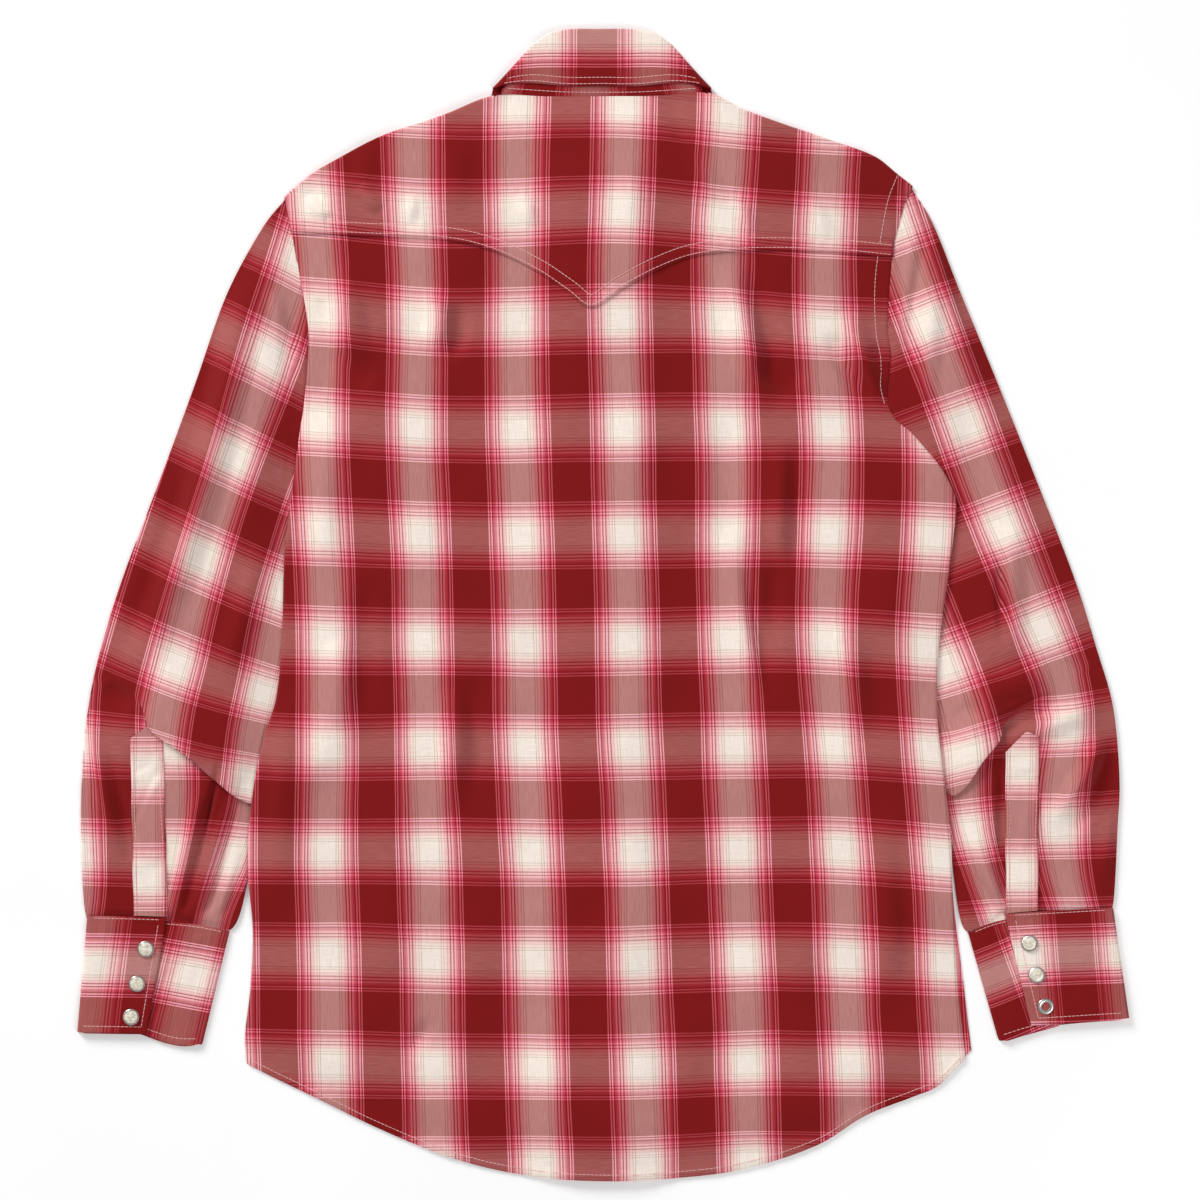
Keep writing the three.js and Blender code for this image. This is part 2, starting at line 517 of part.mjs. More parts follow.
// A sleeve: a tube pressed flat, its elbow fold lying over the lower sleeve
function sleeve(rings, lipRows, endRows, sign, edgeAt) {
  const ring = Object.fromEntries(SLEEVE_RINGS.map((name) => [name, byNumber(rings, name)]));
  const lipAt = curveOf(lipRows, 'across', 'ring');
  const endAt = curveOf(endRows, 'x', 'y');
  const last = rings.length - 1;

  // A place on the ring: number 0 runs along the armhole, beside the body's edge
  const place = (number, across) => {
    const outer = [ring.outerX(number), ring.outerY(number)];
    const inner = [ring.innerX(number), ring.innerY(number)];
    const [x, y] = mixPoint(outer, inner, across);
    const bow = ring.bow(number) * Math.sin(Math.PI * across) * sign;
    const armholeX = edgeAt(Math.min(y, outer[1])) + ARMHOLE_CLEAR * sign;
    const armhole = Math.max(0, 1 - number);
    const end = smooth(last - 1.4, last, number);
    return [mix(x + bow, armholeX, armhole * armhole), mix(y, endAt(x) + 2 * GAP, end)];
  };
  const pressed = SLEEVE_REST - CLOTH / 2;
  const strength = (across) => smooth(0.02, 0.3, across) * (1 - smooth(0.66, 0.84, across));
  const topHeight = (x, y, across) => {
    const outside = sign * (x - edgeAt(y));
    const free = smooth(2, 34, outside);
    const plateau = smooth(0, 0.22, across) * (1 - smooth(0.8, 1, across));
    const nearCuff = 1 - CUFF_PRESS * smooth(...PRESSED_RANGE, y);
    const ridges = ridgeHeight(SLEEVE_RIDGES, x, y) * smooth(0, 0.1, across);
    return pressed + free * (SLEEVE_BULGE * plateau + ridges) * nearCuff;
  };
  const rows = SLEEVE_UPPER_ROWS + SLEEVE_FOLD_ROWS + SLEEVE_LOWER_ROWS;
  const rowNumber = (r, lip) => {
    const [start, end] = [lip - FOLD_MARGIN, lip + FOLD_MARGIN];
    if (r <= SLEEVE_UPPER_ROWS) return start * (r / SLEEVE_UPPER_ROWS);
    const folded = r - SLEEVE_UPPER_ROWS;
    if (folded <= SLEEVE_FOLD_ROWS) return mix(start, end, folded / SLEEVE_FOLD_ROWS);
    return mix(end, last, (folded - SLEEVE_FOLD_ROWS) / SLEEVE_LOWER_ROWS);
  };
  const topPoint = (r, across) => {
    const lip = lipAt(across);
    const power = strength(across);
    const share = Math.min(1, Math.max(0, (r - SLEEVE_UPPER_ROWS) / SLEEVE_FOLD_ROWS));
    const number = rowNumber(r, lip) + FOLD_DEPTH * power * Math.sin(2 * Math.PI * share);
    const [x, y] = place(number, across);
    const before = r <= SLEEVE_UPPER_ROWS ? smooth(lip - 1.5, lip - FOLD_MARGIN, number) : 1;
    const lobe = FOLD_LIFT * power * before * (1 - smooth(0.08, 0.92, share));
    return [x, y, topHeight(x, y, across) + lobe];
  };
  const lowLip = (across) => mix(lipAt(0), lipAt(1), across);
  const lowPoint = (r, across) => [...place(rowNumber(r, lowLip(across)), across), FLOOR_LEVEL];

  // Round the ring: over the top from the inner to the outer edge, the fold, back underneath
  const steps = SLEEVE_SHARES.length - 1;
  const around = 2 * (steps + FOLD_ARC_STEPS - 1);
  const edgeArc = (r, across, c) => {
    const high = topPoint(r, across);
    const low = lowPoint(r, across);
    const radius = (high[2] - low[2]) / 2;
    const angle = Math.PI * c / (FOLD_ARC_STEPS - 1);
    const other = place(rowNumber(r, lipAt(across)), across > 0.5 ? across - 0.1 : across + 0.1);
    const away = [high[0] - other[0], high[1] - other[1]];
    const length = Math.hypot(...away);
    const reach = radius * Math.sin(angle) * EDGE_FULLNESS / length;
    return [high[0] + away[0] * reach, high[1] + away[1] * reach,
      (high[2] + low[2]) / 2 + radius * Math.cos(angle)];
  };
  const shareAt = (c) => SLEEVE_SHARES[c];
  const inset = shareAt(0);
  return new Sheet().grid(rows, around, (r, cc) => {
    const c = cc % around;
    if (c <= steps) return topPoint(r, sign < 0 ? shareAt(c) : shareAt(steps - c));
    const first = c - steps;
    if (first < FOLD_ARC_STEPS - 1) {
      return edgeArc(r, sign < 0 ? 1 - inset : inset, first);
    }
    const low = c - steps - FOLD_ARC_STEPS + 1;
    if (low <= steps) return lowPoint(r, sign < 0 ? shareAt(steps - low) : shareAt(low));
    return edgeArc(r, sign < 0 ? inset : 1 - inset,
      FOLD_ARC_STEPS - 1 - (low - steps));
  }).wall(CLOTH);
}

// The narrow pointed placket on a sleeve, over its slit
const SLEEVE_PLACKETS = {
  left: {
    top: [[-343.4, -99], [-332, -91.5], [-320.6, -101]],
    foot: [[-341.6, -225.4], [-329.6, -225.7], [-317.6, -226.4]],
  },
  right: {
    top: [[294.5, -112], [308, -101], [318.6, -99.5]],
    foot: [[295.4, -224.4], [306.8, -223.4], [318.2, -222.6]],
  },
};
function sleevePlacket(side) {
  const { top, foot } = SLEEVE_PLACKETS[side];
  const rows = 6;
  return new Sheet().grid(rows, 2, (r, c) => {
    const [x, y] = mixPoint(foot[c], top[c], r / rows);
    const up = 1 - smooth(...PRESSED_RANGE, y);
    return [x, y, SLEEVE_PLACKET_LEVEL + SLEEVE_PLACKET_RISE * up];
  }).wall(CLOTH);
}

// A cuff: a band from its overlapping end round the sleeve's end to its hidden end
const CUFF_STATION = ['topX', 'topY', 'footX', 'footY', 'level'];
const CUFFS = {
  left: table(CUFF_STATION,
    [-318.3, -228.3, -332.9, -313.0, 4.3], [-347, -227.4, -358, -312.7, 4.4],
    [-371.5, -226.9, -379.8, -312.4, 4.2], [-374.6, -226.9, -381.9, -312.3, 3.4],
    [-375.6, -226.9, -382.6, -312.3, 2.3], [-374.6, -227.0, -381.9, -312.4, 1.2],
    [-371.5, -227.2, -379.8, -312.6, 0.5], [-320, -228.9, -337, -317.6, 0.5],
    [-276.5, -237.3, -296.5, -321.8, 0.5], [-274.1, -237.6, -294.4, -321.8, 0.95],
    [-273.2, -237.7, -293.6, -321.8, 1.7], [-274.1, -237.6, -294.4, -321.8, 2.45],
    [-276.5, -237.2, -296.5, -321.8, 2.9], [-298, -233.2, -313, -320.0, 2.9],
    [-338, -229.6, -350, -314.4, 2.9]),
  right: table(CUFF_STATION,
    [294.7, -225.2, 313.8, -306.7, 4.3], [331, -223.2, 348, -304.6, 4.4],
    [367.8, -221.2, 380.4, -302.6, 4.2], [370.9, -221.1, 382.5, -302.4, 3.4],
    [371.9, -221.0, 383.2, -302.3, 2.3], [370.9, -221.2, 382.5, -302.5, 1.2],
    [367.8, -221.6, 380.4, -303.0, 0.5], [298, -226.2, 318, -309, 0.5],
    [271.2, -237.8, 293.8, -318.8, 0.5], [268.8, -238.2, 291.6, -319.0, 0.95],
    [267.9, -238.4, 290.7, -319.2, 1.7], [268.8, -238.2, 291.6, -319.0, 2.45],
    [271.2, -237.6, 293.8, -318.9, 2.9], [287, -231.6, 308, -314.4, 2.9],
    [316, -225.2, 334, -307.4, 2.9]),
};
function cuff(side) {
  const stations = side === 'left' ? [...CUFFS.left].reverse() : CUFFS.right;
  const rows = 4;
  return new Sheet().grid(rows, stations.length - 1, (r, c) => {
    const { topX, topY, footX, footY, level } = stations[c];
    return [...mixPoint([footX, footY], [topX, topY - GAP], r / rows), level];
  }).wall(CLOTH);
}

// Snaps
const SNAP_SIDES = 12;
function snapRim() {
  const outer = SNAP_RADIUS;
  const inner = PEARL_RADIUS + GAP;
  const seat = 0.5;
  return new THREE.LatheGeometry([
    [0, 0], [outer, 0], [outer - 0.2, SNAP_HEIGHT - 0.6], [inner + 0.2, SNAP_HEIGHT - 0.3],
    [inner, seat], [0, seat],
  ].map(([x, y]) => new THREE.Vector2(x, y)), SNAP_SIDES);
}
function snapPearl() {
  const base = 0.5 + GAP;
  return new THREE.LatheGeometry([
    [0, base], [PEARL_RADIUS, base], [PEARL_RADIUS, SNAP_HEIGHT - 0.6],
    [PEARL_RADIUS * 0.7, SNAP_HEIGHT - 0.15], [0, SNAP_HEIGHT],
  ].map(([x, y]) => new THREE.Vector2(x, y)), SNAP_SIDES);
}
function bareRing() {
  const profile = [[BARE_RING_HOLE, 0], [BARE_RING_RADIUS, 0], [BARE_RING_RADIUS, 0.6],
    [BARE_RING_RADIUS - 0.5, BARE_RING_HEIGHT], [BARE_RING_HOLE + 0.9, BARE_RING_HEIGHT],
    [BARE_RING_HOLE, 0.6], [BARE_RING_HOLE, 0]];
  return new THREE.LatheGeometry(
    profile.map(([x, y]) => new THREE.Vector2(x, y)), SNAP_SIDES);
}
const CUFF_SNAPS = {
  left: table(['x', 'y', 'pearl'], [-333, -250.9, true], [-339.3, -276.2, true],
    [-343.7, -300.5, true]),
  right: table(['x', 'y', 'pearl'], [311.9, -246.8, true], [317.3, -269.9, true],
    [323.8, -292.8, false]),
};
const CUFF_TOP = CUFFS.left[1].level + CLOTH / 2;

const shirt = new THREE.Group();
function add(name, geometry, colour, metalness = 0, roughness = 0.85) {
  const material = new THREE.MeshStandardMaterial({ color: colour, metalness, roughness });
  const mesh = new THREE.Mesh(geometry, material);
  mesh.name = name;
  shirt.add(mesh);
  return mesh;
}
function addSnap(name, x, y, z, facing, pearl = true) {
  const turn = facing > 0 ? Math.PI / 2 : -Math.PI / 2;
  const parts = [[`${name}_rim`, pearl ? snapRim() : bareRing(), METAL_COLOUR, 0.9, 0.3]];
  if (pearl) parts.push([`${name}_pearl`, snapPearl(), PEARL_COLOUR, 0, 0.25]);
  for (const part of parts) {
    const mesh = add(...part);
    mesh.rotation.x = turn;
    mesh.position.set(x, y, z);
  }
}

add('back_panel', backPanel(), CLOTH_COLOUR);
add('yoke', yoke(), CLOTH_COLOUR);
add('front_left', frontPanel('left'), CLOTH_COLOUR);
add('front_right', frontPanel('right'), CLOTH_COLOUR);
add('front_placket', frontPlacket(), DARK_CLOTH_COLOUR);
add('collar_stand', collarStand(), DARK_CLOTH_COLOUR);
add('collar_leaf', collarLeaf(), CLOTH_COLOUR);
add('sleeve_left', sleeve(SLEEVE_LEFT, FOLD_LIP_LEFT, SLEEVE_END_LEFT, -1, bodyLeft), CLOTH_COLOUR);
add('sleeve_right', sleeve(SLEEVE_RIGHT, FOLD_LIP_RIGHT, SLEEVE_END_RIGHT, 1, bodyRight),
  CLOTH_COLOUR);
for (const side of ['left', 'right']) {
  add(`sleeve_placket_${side}`, sleevePlacket(side), CLOTH_COLOUR);
  add(`cuff_${side}`, cuff(side), CLOTH_COLOUR);
  CUFF_SNAPS[side].forEach(({ x, y, pearl }, i) => {
    addSnap(`cuff_${side}_snap_${i + 1}`, x, y, CUFF_TOP + GAP, 1, pearl);
  });
}
for (let i = 0; i < FRONT_SNAP_COUNT; i += 1) {
  const y = TOP_FRONT_SNAP - i * FRONT_SNAP_STEP;
  addSnap(`front_snap_${i + 1}`, 0, y, placketLevel(y) - CLOTH / 2 - GAP, -1);
}

export default shirt;
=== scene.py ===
import math
import bpy
import numpy as np
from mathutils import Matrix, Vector


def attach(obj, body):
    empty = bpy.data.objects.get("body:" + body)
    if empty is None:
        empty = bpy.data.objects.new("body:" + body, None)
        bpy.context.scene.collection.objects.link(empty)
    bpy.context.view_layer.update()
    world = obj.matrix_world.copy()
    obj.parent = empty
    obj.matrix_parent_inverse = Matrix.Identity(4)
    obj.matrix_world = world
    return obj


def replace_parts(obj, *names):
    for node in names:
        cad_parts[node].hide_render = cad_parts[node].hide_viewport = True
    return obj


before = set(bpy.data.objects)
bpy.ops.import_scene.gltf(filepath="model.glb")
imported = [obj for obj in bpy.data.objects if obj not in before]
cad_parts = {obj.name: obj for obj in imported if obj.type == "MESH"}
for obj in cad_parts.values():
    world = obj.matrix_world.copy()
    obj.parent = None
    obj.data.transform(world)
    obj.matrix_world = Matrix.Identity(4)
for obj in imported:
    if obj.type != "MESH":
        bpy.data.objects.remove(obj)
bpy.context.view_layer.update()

# Everything below is worked out in millimetres and scaled to metres when a mesh is made.
# The shirt lies on z = 0 with its back up; +Y is the collar, +X the wearer's right.
MM = 0.001
CLOTH = 0.5            # thickness of the shirting as it is drawn
DOUBLE_CLOTH = 0.9     # the same where two layers are drawn as one
CAD_CLOTH = 1.0        # wall of the solids
GAP = 0.3
LAYER = CAD_CLOTH + GAP
FLOOR_LEVEL = CAD_CLOTH / 2
BACK_LEVEL = FLOOR_LEVEL + LAYER
YOKE_LEVEL = FLOOR_LEVEL + 2 * LAYER
SOFT_STEP = 0.8        # height over which cloth comes down softly on what is under it
PLACKET_HALF = 16.0
SNAP_RADIUS = 6.2
SNAP_HEIGHT = 2.0
PEARL_RADIUS = 4.9
MARGIN_RISE = 3.0      # how far the body's edges rise over the sleeves,
MARGIN_FALL = (18.0, 56.0)     # and where that dies out inside the edge
ELBOW_RISE = 3.2       # how much more the body's edges rise over the elbow folds
BODY_LOFT = 3.1        # air between the back and the fronts
NECK_RISE = 1.3        # how far the collar's wings lift the neck
FOLD_SCALE = 2.2       # how much deeper the folds lie than their tables say
FOLD_PULL = 3.4        # how far a fold draws the check aside, against its height and width
MOST_PULL = (-0.4, 0.7)        # most that a fold crowds and spreads the check across it
PATH_STEPS = 8         # straight steps along a fold's bent path
WAVES = 7              # waves that are summed for soft unevenness
REPEAT_ACROSS = 75.6   # the check's repeat across and along the cloth
REPEAT_ALONG = 77.9
ROOT = "root"
# On the left and on the right: the underarm, the ends of the yoke's edge and of the hem, and
# the shoulder from its tip to the neck
UNDERARM_LEFT, UNDERARM_RIGHT = 98, 74
YOKE_END_LEFT, YOKE_END_RIGHT = 271.7, 254
HEM_END_LEFT, HEM_END_RIGHT = -335, -331
TIP_LEFT, TIP_RIGHT = -232.2, 227.2
NECK_LEFT, NECK_RIGHT = -78.8, 77.0


def mix(a, b, t):
    return a + (b - a) * t


def smooth(low, high, value):
    t = np.clip((np.asarray(value, float) - low) / (high - low), 0.0, 1.0)
    return t * t * (3 - 2 * t)


def table(names, *rows):
    """Rows of numbers as named columns."""
    return dict(zip(names.split(), np.array(rows, float).T))


def curve(keys, values):
    """A smooth curve through the values at the keys, level past its ends."""
    slopes = np.empty_like(values)
    slopes[1:-1] = (values[2:] - values[:-2]) / (keys[2:] - keys[:-2])
    slopes[0] = (values[1] - values[0]) / (keys[1] - keys[0])
    slopes[-1] = (values[-1] - values[-2]) / (keys[-1] - keys[-2])

    def at(place):
        place = np.asarray(place, float)
        i = np.clip(np.searchsorted(keys, place, side="right") - 1, 0, len(keys) - 2)
        span = keys[i + 1] - keys[i]
        t = np.clip((place - keys[i]) / span, 0.0, 1.0)
        t2, t3 = t * t, t * t * t
        return ((2 * t3 - 3 * t2 + 1) * values[i] + (t3 - 2 * t2 + t) * slopes[i] * span
                + (3 * t2 - 2 * t3) * values[i + 1] + (t3 - t2) * slopes[i + 1] * span)
    return at


def rows_at(rows, number):
    """All columns of a table at a row number, which may lie between two rows."""
    return {name: curve(np.arange(len(values), dtype=float), values)(number)
            for name, values in rows.items()}


def between(f, start, end, share):
    """The place on the way from one pair of columns to another, such as neck to roll."""
    return tuple(mix(f[f"{start}_{axis}"], f[f"{end}_{axis}"], share) for axis in "xy")


def reach(f, start, end):
    """The distance between two such pairs of columns."""
    return np.hypot(*(f[f"{end}_{axis}"] - f[f"{start}_{axis}"] for axis in "xy"))


def soft_rest(height, floor):
    """A height that comes down softly on a floor and stays above it."""
    low = floor + SOFT_STEP * np.exp((height - floor) / SOFT_STEP - 1)
    return np.where(height < floor + SOFT_STEP, low, height)


def groove(place, middle, width):
    """1 in the middle of a soft groove or ridge, dying out to both sides."""
    return np.exp(-((place - middle) / width) ** 2)


def curl(inside, radius, depth):
    """How far an edge turns down: 0 past the radius, the whole depth at the edge."""
    t = np.clip(1 - inside / radius, 0, 1)
    return depth * (1 - np.sqrt(np.maximum(1 - t * t, 0)))


# The body's outline
BODY_LEFT = table(
    "y x", (-335, -259.5), (-316, -260.9), (-281, -257.0), (-237, -255.1), (-188, -258.8),
    (-138, -254.8), (-98, -247.0), (-69, -238.0), (-25, -233.7), (38, -231.6),
    (91, -225.3), (128, -220.5), (168, -216.1), (200, -214.6), (240, -220.9), (298, -231.8))
BODY_RIGHT = table(
    "y x", (-331, 265.7), (-285, 260.6), (-213, 255.9), (-170, 254.8), (-131, 250.1),
    (-95, 245.6), (-62, 244.5), (-26, 246.2), (24, 253.2), (52, 256.7), (72, 258.8),
    (81, 257.4), (98, 248.9), (113, 237.8), (127, 225.5), (136, 214.5), (150, 209.0),
    (183, 211.5), (200, 209.2), (224, 209.9), (254, 212.4), (283, 216.3), (306, 227.4))
HEM = table(
    "x y", (-260, -335), (-237, -346.6), (-211, -359), (-160, -383.8), (-108, -404.5),
    (-56, -416.6), (-1, -420.3), (52, -418.8), (104, -412), (158, -394.3), (193, -372.8),
    (228, -359), (246, -351), (266, -331))
YOKE_EDGE = table(
    "x y", (-228, 271.7), (-184, 270.3), (-122, 267.4), (-97, 263.7), (-72, 255.7),
    (-46, 242.5), (-26, 228.7), (-8.2, 217), (15, 230.9), (40, 244.4), (66, 254.2),
    (102, 258.6), (166, 258.1), (214, 254))
SHOULDER = table(
    "x y", (-232.5, 297), (-229, 301.3), (-214, 313.9), (-197, 323.9), (-161, 342.6),
    (-117, 357.4), (-78.8, 372), (-40, 371.8), (0, 371.8), (40, 372.2), (77, 374.2),
    (102, 362.5), (124, 354.2), (166, 339.9), (200, 327.3), (216, 314.8), (227.4, 306))
FRONT_NECK = table(
    "x y", (-68, 343), (-55, 322), (-40, 309), (-16, 300), (0, 298), (16, 300), (40, 309),
    (55, 322), (68, 344))
body_left = curve(BODY_LEFT["y"], BODY_LEFT["x"])
body_right = curve(BODY_RIGHT["y"], BODY_RIGHT["x"])
hem_at = curve(HEM["x"], HEM["y"])
yoke_edge_at = curve(YOKE_EDGE["x"], YOKE_EDGE["y"])
shoulder_at = curve(SHOULDER["x"], SHOULDER["y"])
front_neck_at = curve(FRONT_NECK["x"], FRONT_NECK["y"])

# Sleeves: outer and inner edge of each ring from the armhole down, and the ring's outward bow
RINGS = "outer_x outer_y inner_x inner_y bow"
SLEEVE_LEFT = table(
    RINGS, (-229.5, 300, -224.9, 98, 0), (-248.6, 275.0, -225.4, 80, 6),
    (-274.5, 226.5, -215, 50, 5), (-297.8, 160.8, -202, 22, 2), (-323.4, 91.4, -196.5, -12, 0),
    (-349.7, 22.1, -200, -46, 0), (-366, -30, -209, -75, 0), (-375.9, -76.5, -224, -106, 0),
    (-380.3, -128, -242, -138, 0), (-380.6, -171.4, -257, -180, 0),
    (-375.2, -226.4, -275.5, -237.2, 0))
SLEEVE_RIGHT = table(
    RINGS, (226.2, 305.4, 259.4, 74, 0), (241.8, 278.6, 257.5, 50, 10),
    (262.1, 227.9, 245, 28, 9), (288.3, 164.4, 230, 2, 4), (317.6, 91.4, 219.5, -25, 0),
    (345.3, 19.9, 217, -52, 0), (362, -33, 222, -77, 0), (373.8, -75, 232.5, -105, 0),
    (378.4, -128, 246.5, -134, 0), (376.2, -169, 255.5, -172, 0),
    (371.6, -220.4, 268.3, -237.2, 0))
LIP_LEFT = table("across ring", (0, 6.5), (0.21, 6.65), (0.295, 6.93), (0.37, 7.07),
                 (0.53, 7.32), (0.72, 7.72), (0.85, 7.98), (1, 8.1))
LIP_RIGHT = table("across ring", (0, 6.2), (0.3, 6.4), (0.56, 6.87), (0.62, 7.04),
                  (0.73, 7.36), (0.87, 7.88), (1, 8.12))
END_LEFT = table("x y", (-375.6, -226.8), (-347, -227.4), (-318, -228.3), (-300, -232),
                 (-273, -237.4))
END_RIGHT = table("x y", (267.9, -238), (284, -232), (294.7, -225.4), (331, -223.2),
                  (371.9, -220.8))

# Soft ridges and troughs, each given as a bent path, a height and a half width
RIDGE = "x0 y0 x1 y1 x2 y2 height width"
BODY_FOLDS = table(
    RIDGE,
    (-188, 250, -187, 205, -178, 165, 2.6, 17), (-207, 225, -203, 190, -208, 150, -1.8, 13),
    (-126, 232, -112, 205, -125, 186, 2.6, 15), (-108, 222, -98, 200, -114, 178, -2.2, 12),
    (-196, 190, -180, 176, -168, 160, -1.8, 15), (90, 250, 106, 205, 116, 140, 3.0, 17),
    (104, 262, 124, 205, 132, 140, -2.0, 15), (118, 182, 126, 166, 146, 160, -2.6, 16),
    (178, 215, 190, 180, 212, 145, 3.0, 14), (168, 200, 176, 176, 196, 150, -2.4, 12),
    (196, 190, 202, 176, 210, 158, -2.0, 10), (141, 120, 144, 80, 139, 20, -2.4, 11),
    (130, 124, 128, 70, 131, 20, 1.6, 13), (82, 160, 100, 90, 86, 40, -1.4, 18),
    (97, 60, 104, -20, 118, -66, 2.6, 17), (104, 34, 112, -18, 124, -70, -3.0, 10),
    (126, 40, 122, 0, 126, -46, -1.8, 11), (-196, -25, -188, -50, -192, -90, 2.2, 17),
    (-172, 20, -176, -30, -172, -80, -1.8, 15), (-112, -60, -104, -100, -112, -150, 2.4, 16),
    (-98, -50, -88, -95, -92, -130, -1.8, 14), (172, 0, 180, -60, 190, -100, 2.0, 18),
    (196, 20, 202, -50, 210, -110, -1.6, 18), (-60, 60, -66, -20, -60, -80, 1.0, 22),
    (30, 180, 24, 120, 30, 60, 1.0, 24), (-150, -120, -158, -190, -150, -250, 1.2, 22),
    (60, -70, 52, -130, 60, -200, 1.0, 22), (10, -190, 16, -240, 8, -310, 0.9, 24),
    (-90, -200, -100, -270, -92, -340, 1.0, 22), (200, 90, 206, 30, 200, -40, 1.2, 20),
    (-205, 120, -200, 60, -206, 10, 1.4, 18), (200, -160, 212, -230, 204, -300, 1.6, 18),
    (214, -150, 228, -220, 222, -290, -1.4, 14), (-124, -300, -132, -316, -144, -330, -1.4, 9),
    (-230, -60, -236, -140, -232, -220, 1.2, 14), (60, -270, 66, -320, 58, -380, 0.8, 20),
    (-30, -290, -26, -340, -34, -395, 0.8, 20), (150, -230, 142, -290, 150, -350, 1.0, 20))
YOKE_FOLDS = table(
    RIDGE,
    (-178, 306, -170, 296, -162, 288, 1.4, 9), (-214, 300, -208, 290, -200, 282, 1.4, 8),
    (-220, 312, -206, 300, -204, 286, -1.0, 7), (-140, 300, -138, 290, -140, 278, 1.0, 7),
    (-62, 300, -52, 290, -50, 276, 1.0, 8), (60, 345, 74, 320, 80, 290, 1.2, 15),
    (-110, 345, -104, 320, -108, 285, 1.0, 15), (96, 300, 104, 286, 110, 272, 1.1, 8),
    (46, 372, 60, 340, 78, 316, -1.0, 12), (150, 296, 160, 284, 164, 268, 0.9, 9),
    (20, 330, 24, 300, 18, 268, 0.8, 16), (-170, 338, -176, 320, -172, 300, 0.8, 13))
SLEEVE_FOLDS = table(
    RIDGE,
    # Left sleeve: a long ridge down the arm, the hollow by the armhole, elbow and pleats
    (-258, 250, -276, 105, -340, -55, 3.6, 19), (-222, 235, -226, 195, -224, 150, -3.0, 14),
    (-240, 230, -236, 212, -228, 196, 1.6, 8), (-300, 100, -322, 30, -350, -40, -1.6, 15),
    (-236, 60, -258, 0, -280, -60, 1.6, 16), (-362, -58, -354, -66, -342, -76, -1.4, 13),
    (-376, -80, -366, -135, -350, -185, 2.6, 13), (-360, -110, -352, -150, -342, -190, -1.6, 10),
    (-278, -112, -290, -160, -308, -234, -2.6, 4), (-268, -132, -281, -172, -300, -236, 2.2, 6),
    (-262, -126, -273, -170, -292, -236, -3.2, 4), (-257, -146, -266, -188, -284, -236, 2.0, 5),
    (-253, -160, -264, -200, -279, -238, -2.6, 3.5), (-290, -126, -302, -172, -314, -232, 1.6, 8),
    (-264, -126, -262, -134, -256, -140, -2.5, 5),
    # Right sleeve
    (230, 280, 219, 238, 218, 165, 2.6, 5), (238, 272, 226, 232, 223, 165, -2.2, 6),
    (240, 240, 240, 190, 234, 140, 1.6, 12),
    (262, 150, 276, 90, 296, 30, -1.2, 16), (296, 60, 300, 10, 302, -40, 2.2, 13),
    (292, 40, 290, 8, 294, -28, -2.2, 7), (244, -99, 260, -84, 276, -70, -3.6, 13),
    (286, -92, 308, -79, 336, -70, -3.8, 11), (280, -60, 300, -58, 330, -52, 2.0, 16),
    (306, -96, 330, -84, 362, -76, 2.4, 12), (366, -92, 358, -122, 326, -160, 2.6, 11),
    (376, -100, 368, -134, 340, -172, -1.8, 10), (260, -150, 276, -186, 296, -226, 2.4, 9),
    (254, -158, 268, -192, 288, -228, -3.0, 5), (290, -106, 291, -160, 293, -222, -2.2, 5),
    (372, -150, 368, -180, 364, -215, 1.4, 11))


def nearest_on_path(f, x, y):
    """Distance to a fold's path, how far along it, and the way from it to the place."""
    near = np.full(np.broadcast(x, y).shape, 1e9)
    best, best_x, best_y = np.zeros((3, *near.shape))
    t = np.linspace(0, 1, PATH_STEPS + 1)
    px, py = ((1 - t) ** 2 * f[f"{axis}0"] + 2 * t * (1 - t) * f[f"{axis}1"]
              + t * t * f[f"{axis}2"] for axis in "xy")
    for i in range(PATH_STEPS):
        ex, ey = px[i + 1] - px[i], py[i + 1] - py[i]
        along = np.clip(((x - px[i]) * ex + (y - py[i]) * ey) / (ex * ex + ey * ey), 0, 1)
        dx, dy = x - px[i] - along * ex, y - py[i] - along * ey
        away = np.hypot(dx, dy)
        closer = away < near
        near = np.where(closer, away, near)
        best = np.where(closer, (i + along) / PATH_STEPS, best)
        best_x, best_y = np.where(closer, dx, best_x), np.where(closer, dy, best_y)
    return near, best, best_x, best_y


def fold_field(folds, x, y):
    """Height of the folds at a place and how far they pull the check aside there.

    Each fold is highest along its path and ends at its half width; its height dies out at
    both ends."""
    height, pull_x, pull_y = np.zeros((3, *np.broadcast(x, y).shape))
    for row in zip(*folds.values()):
        f = dict(zip(folds, row))
        near, t, dx, dy = nearest_on_path(f, x, y)
        strength = np.sin(math.pi * t)
        share = np.clip(near / f["width"], 0, 1)
        height += FOLD_SCALE * f["height"] * strength * (1 - smooth(0, 1, share))
        most = np.clip(f["height"] * FOLD_PULL / f["width"], *MOST_PULL)
        pull = most * strength * (1 - share) ** 2
        pull_x += pull * dx
        pull_y += pull * dy
    return height, pull_x, pull_y


def ridges(folds, x, y):
    return fold_field(folds, x, y)[0]


def waves(x, y, seed, size):
    """Soft unevenness of lying cloth, about 1 high: a few seeded waves, size millimetres long."""
    random = np.random.default_rng(seed)
    total = np.zeros(np.broadcast(x, y).shape)
    for _ in range(WAVES):
        angle = random.uniform(0, math.pi)
        length = size * random.uniform(0.6, 1.6)
        phase = random.uniform(0, 2 * math.pi)
        bend = random.uniform(0.4, 0.9)
        along = x * math.cos(angle) + y * math.sin(angle)
        aside = y * math.cos(angle) - x * math.sin(angle)
        total += np.sin(2 * math.pi * along / length + phase + bend * np.sin(aside / size * 2.2))
    return total / math.sqrt(WAVES)


def near_placket(x):
    return 1 - smooth(PLACKET_HALF + 2, 62, np.abs(x))


